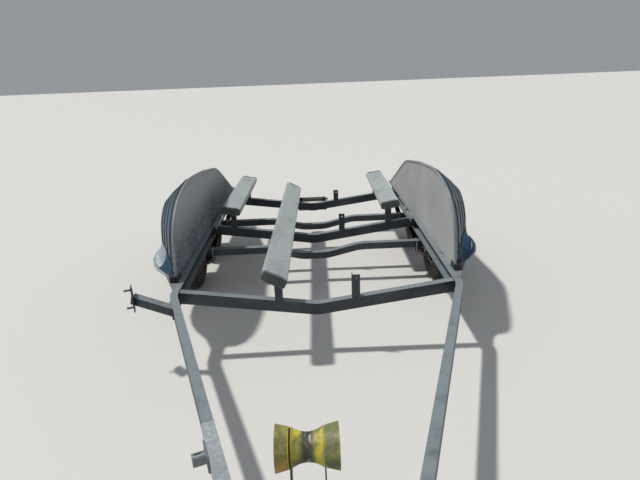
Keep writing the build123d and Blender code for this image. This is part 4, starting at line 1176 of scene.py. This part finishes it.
@dataclass
class Bunk:
    """A board wrapped in carpet, with its folded ends, its staples and its brackets."""

    name: str
    front: Triple
    tail: Triple
    roll: float
    stations: Row
    width: float = 0.16
    thick: float = 0.065
    rounding: float = 0.011
    cut_every: float = 0.035
    cuts_across: Row = (-0.045, -0.015, 0.015, 0.045)
    lump: float = 0.0016
    ripple: float = 0.0009
    end: float = 0.01
    end_lumps: float = 0.3
    fold_half: Triple = (0.081, 0.015, 0.033)
    fold_power: int = 5
    fold_lump: Pair = (0.006, 0.004)
    fold_out: float = 0.002
    staple: Triple = (0.0012, 0.012, 0.0012)
    staple_in: float = 0.022
    staple_start: float = 0.04
    staple_every: float = 0.075
    staple_lean: float = 25.0
    tab: Triple = (0.06, 0.056, 0.004)
    tab_in: float = 0.004
    tab_bolt: Triple = (0.006, 0.016, 0.011)

    def __post_init__(self) -> None:
        """Work out the bunk's own directions."""
        self.start, end = (Vector((x, back(distance), RAIL_TOP + rise))
                           for x, distance, rise in (self.front, self.tail))
        self.length = (end - self.start).length
        self.run = (end - self.start).normalized()
        level = self.run.cross(UP).normalized()
        self.across = Matrix.Rotation(math.radians(self.roll), 3, self.run) @ level
        self.up = self.across.cross(self.run)
        self.turn = Matrix((self.across, self.run, self.up)).transposed().to_4x4()

    def at(self, across: float, along: float, up: float) -> Vector:
        """Give a place from the middle of the front edge of the bunk's top."""
        return self.start + self.across * across + self.run * along + self.up * up

    def build(self) -> None:
        """Build the carpeted board and what holds it."""
        self.carpet()
        self.folds()
        self.staples()
        self.brackets()

    def carpet(self) -> None:
        """Wrap the board: a rounded bar whose faces wander a little, as glued carpet does."""
        shape = Piece(self.name + "_carpet", Finish.CARPET)
        middle = self.at(0, self.length / 2, -self.thick / 2)
        shape.block((self.width, self.length, self.thick), middle, self.turn)
        made = shape.made
        long_edges = [edge for edge in made.edges if edge.calc_length() > self.length / 2]
        bmesh.ops.bevel(made, geom=long_edges, offset=self.rounding, segments=4, profile=0.5,
                        affect="EDGES", material=-1)
        cuts = int(self.length / self.cut_every)
        for count in range(1, cuts):
            self.cut(made, self.at(0, self.length * count / cuts, 0), self.run)
        for wide in self.cuts_across:
            self.cut(made, self.at(wide, 0, 0), self.across)
        made.normal_update()
        for vert in made.verts:
            along = (vert.co - self.start).dot(self.run)
            lump = noise.noise(Vector((along * 7, vert.co.x * 26, vert.co.z * 26)))
            ripple = noise.noise(Vector((along * 30, vert.co.x * 9, 4.0)))
            share = 1.0 if self.end < along < self.length - self.end else self.end_lumps
            vert.co += vert.normal * (self.lump * lump + self.ripple * ripple) * share
        piece = shape.done(stands_for=[self.name])
        smooth = piece.modifiers.new("smooth", "SUBSURF")
        smooth.levels = smooth.render_levels = 1

    @staticmethod
    def cut(made: bmesh.types.BMesh, place: Vector, across: Vector) -> None:
        """Cut a mesh's faces along the plane through a place, across a direction."""
        every = [*made.verts, *made.edges, *made.faces]
        bmesh.ops.bisect_plane(made, geom=every, plane_co=place, plane_no=across)

    def folds(self) -> None:
        """Fold the carpet over both ends in thick, soft lumps, darker than the top as painted
        shade.
        """
        folds = Piece(self.name + "_folds", Finish.FOLD)
        for along, way in ((0.0, -1.0), (self.length, 1.0)):
            lump = bmesh.new()
            bmesh.ops.create_cube(lump, size=2.0)
            bmesh.ops.subdivide_edges(lump, edges=lump.edges, cuts=11, use_grid_fill=True)
            for vert in lump.verts:
                powers = sum(abs(share) ** self.fold_power for share in vert.co)
                blunt = powers ** (1 / self.fold_power)
                place = Vector(share / blunt * half for share, half in zip(vert.co, self.fold_half))
                out, up = (Vector((place.x * 28, along * 9, place.z * 30)),
                           Vector((place.x * 24, along * 5 + 3, 1.0)))
                place.y += way * (self.fold_lump[0] * noise.noise(out) + self.fold_out)
                place.z += self.fold_lump[1] * noise.noise(up)
                vert.co = self.at(place.x, along + place.y, place.z - self.thick / 2)
            folds.take(lump)
        folds.done()

    def staples(self) -> None:
        """Staple the carpet along the underside."""
        staples = Piece(self.name + "_staples", Finish.BRIGHT)
        spots = random.Random(len(self.name))
        edge, low = self.width / 2 - self.staple_in, -self.thick - self.staple[2] / 2
        for hand in WAYS:
            for count in range(int(self.length / self.staple_every)):
                spot = self.at(hand * edge, self.staple_start + count * self.staple_every, low)
                angle = math.radians(spots.uniform(-self.staple_lean, self.staple_lean))
                staples.block(self.staple, spot, self.turn @ Matrix.Rotation(angle, 4, "Z"))
        staples.done()

    def brackets(self) -> None:
        """Bolt the board to the tops of its posts."""
        tabs = Piece(self.name + "_brackets", Finish.ZINC)
        aside, reach, nut = self.tab_bolt
        for station in self.stations:
            along, low = station - self.front[1] - self.tab_in, -self.thick - self.tab[2]
            tabs.block(self.tab, self.at(self.tab_in, along, low + self.tab[2] / 2), self.turn)
            for hand in WAYS:
                tabs.bolt(self.at(aside + hand * reach, along + reach, low), -self.up, nut)
        tabs.done(0.0006)


BUNKS = (
    Bunk("centre_bunk", (-0.243, -0.035, 0.121), (-0.19, 2.53, 0.071), 27.0, (0.075, 1.42, 2.45)),
    Bunk("left_bunk", (-0.702, 1.33, 0.172), (-0.69, 2.64, 0.16), 10.0, (1.42, 2.45)),
    Bunk("right_bunk", (0.66, 1.33, 0.172), (0.69, 2.64, 0.16), -10.0, (1.42, 2.45)),
)


@dataclass
class Frame:
    """The weld beads, slots and small fittings of the frame."""

    members: Row = (0.075, 1.42, 2.45)
    member_half: float = 0.025
    member_top: float = 0.457
    member_low: float = 0.381
    weld_r: float = 0.0035
    weld_steps: int = 9
    weld_shake: float = 0.001
    slots_at: Row = (2.17, 2.29, 2.43, 2.56, 2.7)
    slot: Triple = (0.014, 0.055, 0.0012)
    slot_in: float = 0.036
    brackets_at: Table = ((1.455, 0.25), (1.69, 0.12))
    bracket_in: float = 0.056
    bracket: Pair = (0.034, 0.005)
    bracket_lip: Pair = (0.004, 0.03)
    lip_place: Pair = (0.015, 0.013)
    bracket_bolt: Pair = (0.004, 0.38)
    bracket_nut: float = 0.014
    hook_at: float = 0.5
    hook_in: float = 0.01
    hook_path: Table = ((0.0, -0.018, 0.0), (0.0, -0.018, 0.014), (-0.004, 0.016, 0.018),
                        (-0.008, 0.016, 0.0))
    hook_round: float = 0.008
    hook_r: float = 0.0035
    keel_at: Pair = (2.393, 0.4)
    keel_cap: Table = ((0.0242, 0.0), (0.0246, 0.004), (0.0246, 0.022), (0.0242, 0.026))
    keel_cap_x: float = 0.112
    keel_bolt_x: float = 0.151
    keel_nut: float = 0.017

    def build(self) -> None:
        """Add the welds, the slots and the fittings."""
        self.welds()
        self.slots()
        self.fittings()
        self.keel()

    def welds(self) -> None:
        """Weld the crossmembers to the rails."""
        spots = random.Random(7)
        welds = Piece("frame_welds", Finish.FRAME)
        rise, shake = (self.member_top - self.member_low) / self.weld_steps, self.weld_shake
        for distance in self.members:
            for side in SIDES.values():
                for face in (-self.member_half, self.member_half):
                    y = back(distance) + face
                    x = side * (rail_outer(y) - RAIL_FLANGE)
                    path = [(x + spots.uniform(-shake, shake), y + spots.uniform(-shake, shake),
                             self.member_low + step * rise) for step in range(self.weld_steps + 1)]
                    welds.wire(path, self.weld_r)
        welds.done()

    def slots(self) -> None:
        """Mark the long slots near the tails of the rails with thin black plates: painted shade for
        the holes.
        """
        slots = Piece("rail_slots", Finish.BLACK)
        for side in SIDES.values():
            for y in map(back, self.slots_at):
                x = side * (rail_outer(y) - self.slot_in)
                slots.block(self.slot, (x, y, RAIL_TOP + 0.0002))
        slots.done(0.0004)

    def fittings(self) -> None:
        """Add the plated brackets beside the outer bunks and the small hook on the right rail."""
        plates = Piece("rail_brackets", Finish.BRIGHT)
        wide, thick = self.bracket
        lip_thick, lip_high = self.bracket_lip
        lip_in, lip_low = self.lip_place
        bolt_out, bolt_share = self.bracket_bolt
        for side in SIDES.values():
            for distance, length in self.brackets_at:
                y = back(distance)
                x = side * (rail_outer(y) - self.bracket_in)
                plates.block((wide, length, thick), (x, y, RAIL_TOP + thick / 2))
                plates.block((lip_thick, length, lip_high),
                             (x - side * lip_in, y, RAIL_TOP - lip_low))
                for reach in (-length * bolt_share, length * bolt_share):
                    foot = (x + side * bolt_out, y + reach, RAIL_TOP + thick)
                    plates.bolt(foot, UP, self.bracket_nut)
        plates.done(0.0008)
        y = back(self.hook_at)
        foot = Vector((rail_outer(y) - self.hook_in, y, RAIL_TOP))
        hook = Piece("rail_hook", Finish.CHALKY)
        path = [foot + Vector(row) for row in self.hook_path]
        hook.wire(rounded(path, self.hook_round), self.hook_r)
        hook.done()

    def keel(self) -> None:
        """Cap the keel roller with black ends and bolt its bracket."""
        y, z = back(self.keel_at[0]), self.keel_at[1]
        ends = Piece("keel_roller_ends", Finish.BLACK, "keel_roller_body")
        bolts = Piece("keel_bracket_bolts", Finish.ZINC)
        for way in WAYS:
            ends.lathe(self.keel_cap, (way * self.keel_cap_x, y, z), (way, 0, 0))
            bolts.bolt((way * self.keel_bolt_x, y, z), (way, 0, 0), self.keel_nut)
        ends.done()
        bolts.done(0.0006)


@dataclass
class Tongue:
    """The bolts of the tongue, and the fittings of its jack, coupler, carrier and sleeve."""

    jack_y: float = -2.215
    plate_top: float = 0.473
    plate_bolts: Table = ((-0.052, -2.345), (0.052, -2.345), (-0.086, -2.18), (0.086, -2.18))
    flange_r: float = 0.041
    flange_high: float = 0.008
    housing_z: float = 0.735
    housing: Table = ((0.0288, -0.05), (0.031, -0.048), (0.031, -0.004), (0.029, 0.0),
                      (0.0288, 0.0))
    collar_z: float = 0.267
    collar: Table = ((0.0288, 0.0), (0.0315, 0.002), (0.0315, 0.01), (0.0288, 0.012))
    grip_x: float = 0.14
    grip_z: float = 0.763
    grip: Table = ((0.0132, 0.0), (0.015, 0.003), (0.0142, 0.03), (0.0152, 0.062), (0.0132, 0.0698))
    foot_weld: Triple = (0.0262, 0.0095, 0.003)
    coupler_top: float = 0.369
    coupler_bolts: Row = (-2.36, -2.47)
    coupler_nose: float = -2.62
    coupler_half: float = 0.056
    coupler_taper: float = 0.115
    coupler_lean: float = 0.11
    coupler_bolt_low: float = 0.026
    coupler_nut: float = 0.019
    latch_y: float = -2.64
    latch_high: float = 0.016
    latch_pin: Pair = (0.004, 0.034)
    stud_foot: Triple = (-1.10472, -0.179638, 0.481909)
    rail_turn: float = 20.0
    thread_start: float = 0.01
    thread_end: float = 0.0352
    thread_pitch: float = 0.00125
    thread_r: Triple = (0.006, 0.007, 0.00638)
    stub_slot: Triple = (0.024, 0.006, 0.0012)
    stub_place: Triple = (-0.4619, -1.4054, 0.4416)
    sleeve_ends: Row = (-1.75, -1.155)
    sleeve_weld: Table = ((0.044, 0.017, 0.0015), (-0.002, 0.0, 0.0015), (-0.002, 0.0, -0.096))

    def build(self) -> None:
        """Add everything forward of the fenders."""
        self.jack()
        self.coupler()
        self.carrier()
        self.sleeve()

    def ring(self, radius: float, z: float, angles: Iterable[float]) -> list[Vector]:
        """Give points of a level circle round the jack.

        Args:
            radius: The circle's radius.
            z: Its height.
            angles: Where the points are, in degrees.

        Returns:
            The points.
        """
        centre = Vector((0, self.jack_y, z))
        return [centre + Matrix.Rotation(math.radians(angle), 3, "Z") @ Vector((radius, 0, 0))
                for angle in angles]

    def jack(self) -> None:
        """Add the bolts, the gear housing, the grip and the foot's weld of the jack."""
        bolts = Piece("tongue_bolts", Finish.ZINC)
        for spot in self.ring(self.flange_r, self.plate_top + self.flange_high, (30, 150, 270)):
            bolts.bolt(spot, UP, 0.014)
        for x, y in self.plate_bolts:
            bolts.bolt((x, y, self.plate_top), UP, 0.017)
        bolts.done(0.0006)
        housing = Piece("jack_housing", Finish.ZINC)
        housing.lathe(self.housing, (0, self.jack_y, self.housing_z), UP, 32)
        housing.lathe(self.collar, (0, self.jack_y, self.collar_z), UP, 32)
        housing.done()
        grip = Piece("jack_grip", Finish.BLACK)
        grip.lathe(self.grip, (self.grip_x, self.jack_y, self.grip_z), UP, 24)
        grip.done()
        weld = Piece("jack_foot_weld", Finish.ZINC, "jack_leg_body")
        around, z, radius = self.foot_weld
        weld.wire(self.ring(around, z, (step * 360 / 32 for step in range(33))), radius)
        weld.done()

    def coupler(self) -> None:
        """Add the coupler's through bolts and the pin of its latch."""
        bolts = Piece("coupler_bolts", Finish.ZINC)
        for y in self.coupler_bolts:
            half = self.coupler_half + (y - self.coupler_nose) * self.coupler_taper
            for way in WAYS:
                foot = (way * half, y, self.coupler_top - self.coupler_bolt_low)
                bolts.bolt(foot, (way, self.coupler_lean, 0), self.coupler_nut)
        radius, length = self.latch_pin
        foot = (-length / 2, self.latch_y, self.coupler_top + self.latch_high)
        bolts.rod(radius, length, foot, (1, 0, 0), 14)
        bolts.done(0.0006)

    def carrier(self) -> None:
        """Thread the two studs of the spare wheel carrier."""
        turn = math.radians(self.rail_turn)
        root, crest, groove = self.thread_r
        crests = [(groove if step % 2 else crest, self.thread_start + step * self.thread_pitch)
                  for step in range(21)]
        profile = [(root, self.thread_start), *crests, (root, self.thread_end)]
        threads = Piece("spare_stud_threads", Finish.ZINC)
        for way in WAYS:
            foot = Vector(self.stud_foot) + UP * way * NUT_CIRCLE
            threads.lathe(profile, foot, (-math.cos(turn), -math.sin(turn), 0), 20)
        threads.done()

    def sleeve(self) -> None:
        """Slot the jack stub with a thin black plate, painted shade for the slot, and weld the
        sleeve's ends to the left rail.
        """
        slot = Piece("stub_slot", Finish.BLACK)
        turn = Matrix.Rotation(math.radians(self.rail_turn), 4, "Z")
        slot.block(self.stub_slot, self.stub_place, turn)
        slot.done(0.0004)
        welds = Piece("sleeve_welds", Finish.SCUFFED)
        for y in map(back, self.sleeve_ends):
            corner = Vector((-rail_outer(y), y, RAIL_TOP))
            welds.wire([corner + Vector(row) for row in self.sleeve_weld], 0.0035)
        welds.done()


@dataclass
class Winch:
    """The gear, grip and bolts of the winch, and the shaft and spacers of the bow roller."""

    y: float = -2.11
    drum_z: float = 0.879
    cheek: float = 0.033
    base_z: float = 0.835
    bow_y: float = -1.96
    teeth: int = 28
    gear_r: float = 0.0345
    gear_thick: float = 0.005
    gear_out: float = 0.006
    tooth: Triple = (0.005, 0.0042, 0.005)
    tooth_r: float = 0.0355
    stand_y: float = -1.95
    stand_bolts: Table = ((-0.07, 0.046), (-0.03, -0.046), (0.03, -0.046), (0.07, 0.046))
    stand_foot: float = 0.473
    stand_nut: float = 0.016
    base_bolts: Row = (-0.042, 0.042)
    base_nut: float = 0.014
    shaft_nut: Triple = (0.0065, 0.006, 0.01)
    grip: Table = ((0.0142, 0.01), (0.0158, 0.014), (0.015, 0.05), (0.016, 0.092), (0.0142, 0.0985))
    grip_place: Pair = (0.06, -0.16)
    bell_x: float = 0.069
    shaft_end: Pair = (0.011, 0.0015)
    spacer: Triple = (0.0082, 0.0353, 0.0393)
    spacer_rims: Pair = (0.0405, 0.0424)
    spacer_flare: float = 0.0005

    def build(self) -> None:
        """Build the winch's and the roller's fittings."""
        self.winch()
        self.roller()

    def winch(self) -> None:
        """Add the gear, the bolts of the winch and its stand, and the crank's grip."""
        gear = Piece("winch_gear", Finish.ZINC)
        face = STAND_X + self.cheek + self.gear_out
        gear.rod(self.gear_r, self.gear_thick, (face, self.y, self.drum_z), (1, 0, 0),
                 2 * self.teeth)
        hub = Vector((face + self.gear_thick / 2, self.y, self.drum_z))
        for count in range(self.teeth):
            turn = Matrix.Rotation(2 * math.pi * count / self.teeth, 4, "X")
            gear.block(self.tooth, hub + turn @ UP * self.tooth_r, turn)
        gear.done(0.0005)
        bolts = Piece("winch_bolts", Finish.BRIGHT)
        for reach in self.base_bolts:
            bolts.bolt((STAND_X, self.y + reach, self.base_z), UP, self.base_nut)
        radius, high, out = self.shaft_nut
        foot = (STAND_X - self.cheek - out, self.y, self.drum_z)
        bolts.rod(radius, high, foot, (-1, 0, 0), 6)
        for x, reach in self.stand_bolts:
            foot = (STAND_X + x, back(self.stand_y) + reach, self.stand_foot)
            bolts.bolt(foot, UP, self.stand_nut)
        bolts.done(0.0006)
        grip = Piece("winch_grip", Finish.BLACK)
        x, reach = self.grip_place
        grip.lathe(self.grip, (STAND_X + x, self.y + reach, self.drum_z), (1, 0, 0), 24)
        grip.done()

    def roller(self) -> None:
        """Add the ends of the bow roller's shaft and the spacers beside its waist."""
        middle = Vector((STAND_X, self.bow_y, BOW_Z))
        shaft = Piece("bow_roller_shaft", Finish.ZINC, "bow_roller_body")
        for way in WAYS:
            foot = middle + Vector((way * self.bell_x, 0, 0))
            shaft.rod(*self.shaft_end, foot, (way, 0, 0), 24)
        shaft.done(0.0004)
        bore, start, end = self.spacer
        looks = (Finish.SEAM, Finish.ROLLER)
        for (name, side), finish, rim in zip(SIDES.items(), looks, self.spacer_rims):
            spacer = Piece(f"bow_roller_{name}_spacer", finish)
            ring = [(bore, start), (rim - self.spacer_flare, start), (rim, end), (bore, end)]
            spacer.lathe(ring, middle, (side, 0, 0), 48, closed=True)
            spacer.done()


def dress_nodes() -> None:
    """Give every node of the frame the finish of its slot."""
    for part in frame["record"]["subparts"]:
        node = frame["nodes"][part["node"]]
        dress(node, NODE_FINISH.get(part["node"], SLOT_FINISHES[part["material_slot"]][0]))
        LOG.info("dressed %s", part["node"])


def main() -> None:
    """Build the scene."""
    logging.basicConfig(level=logging.INFO, format="%(message)s")
    Studio().build()
    dress_nodes()
    for side_name, side in SIDES.items():
        for place, y in AXLES.items():
            Wheel(f"{side_name}_{place}", side, y).build()
        RunningGear(side_name, side).build()
        Fender(side_name, side).build()
        TailLamp(side_name, side).build()
    for bunk in BUNKS:
        bunk.build()
    Frame().build()
    Tongue().build()
    Winch().build()


if __name__ == "__main__":
    main()
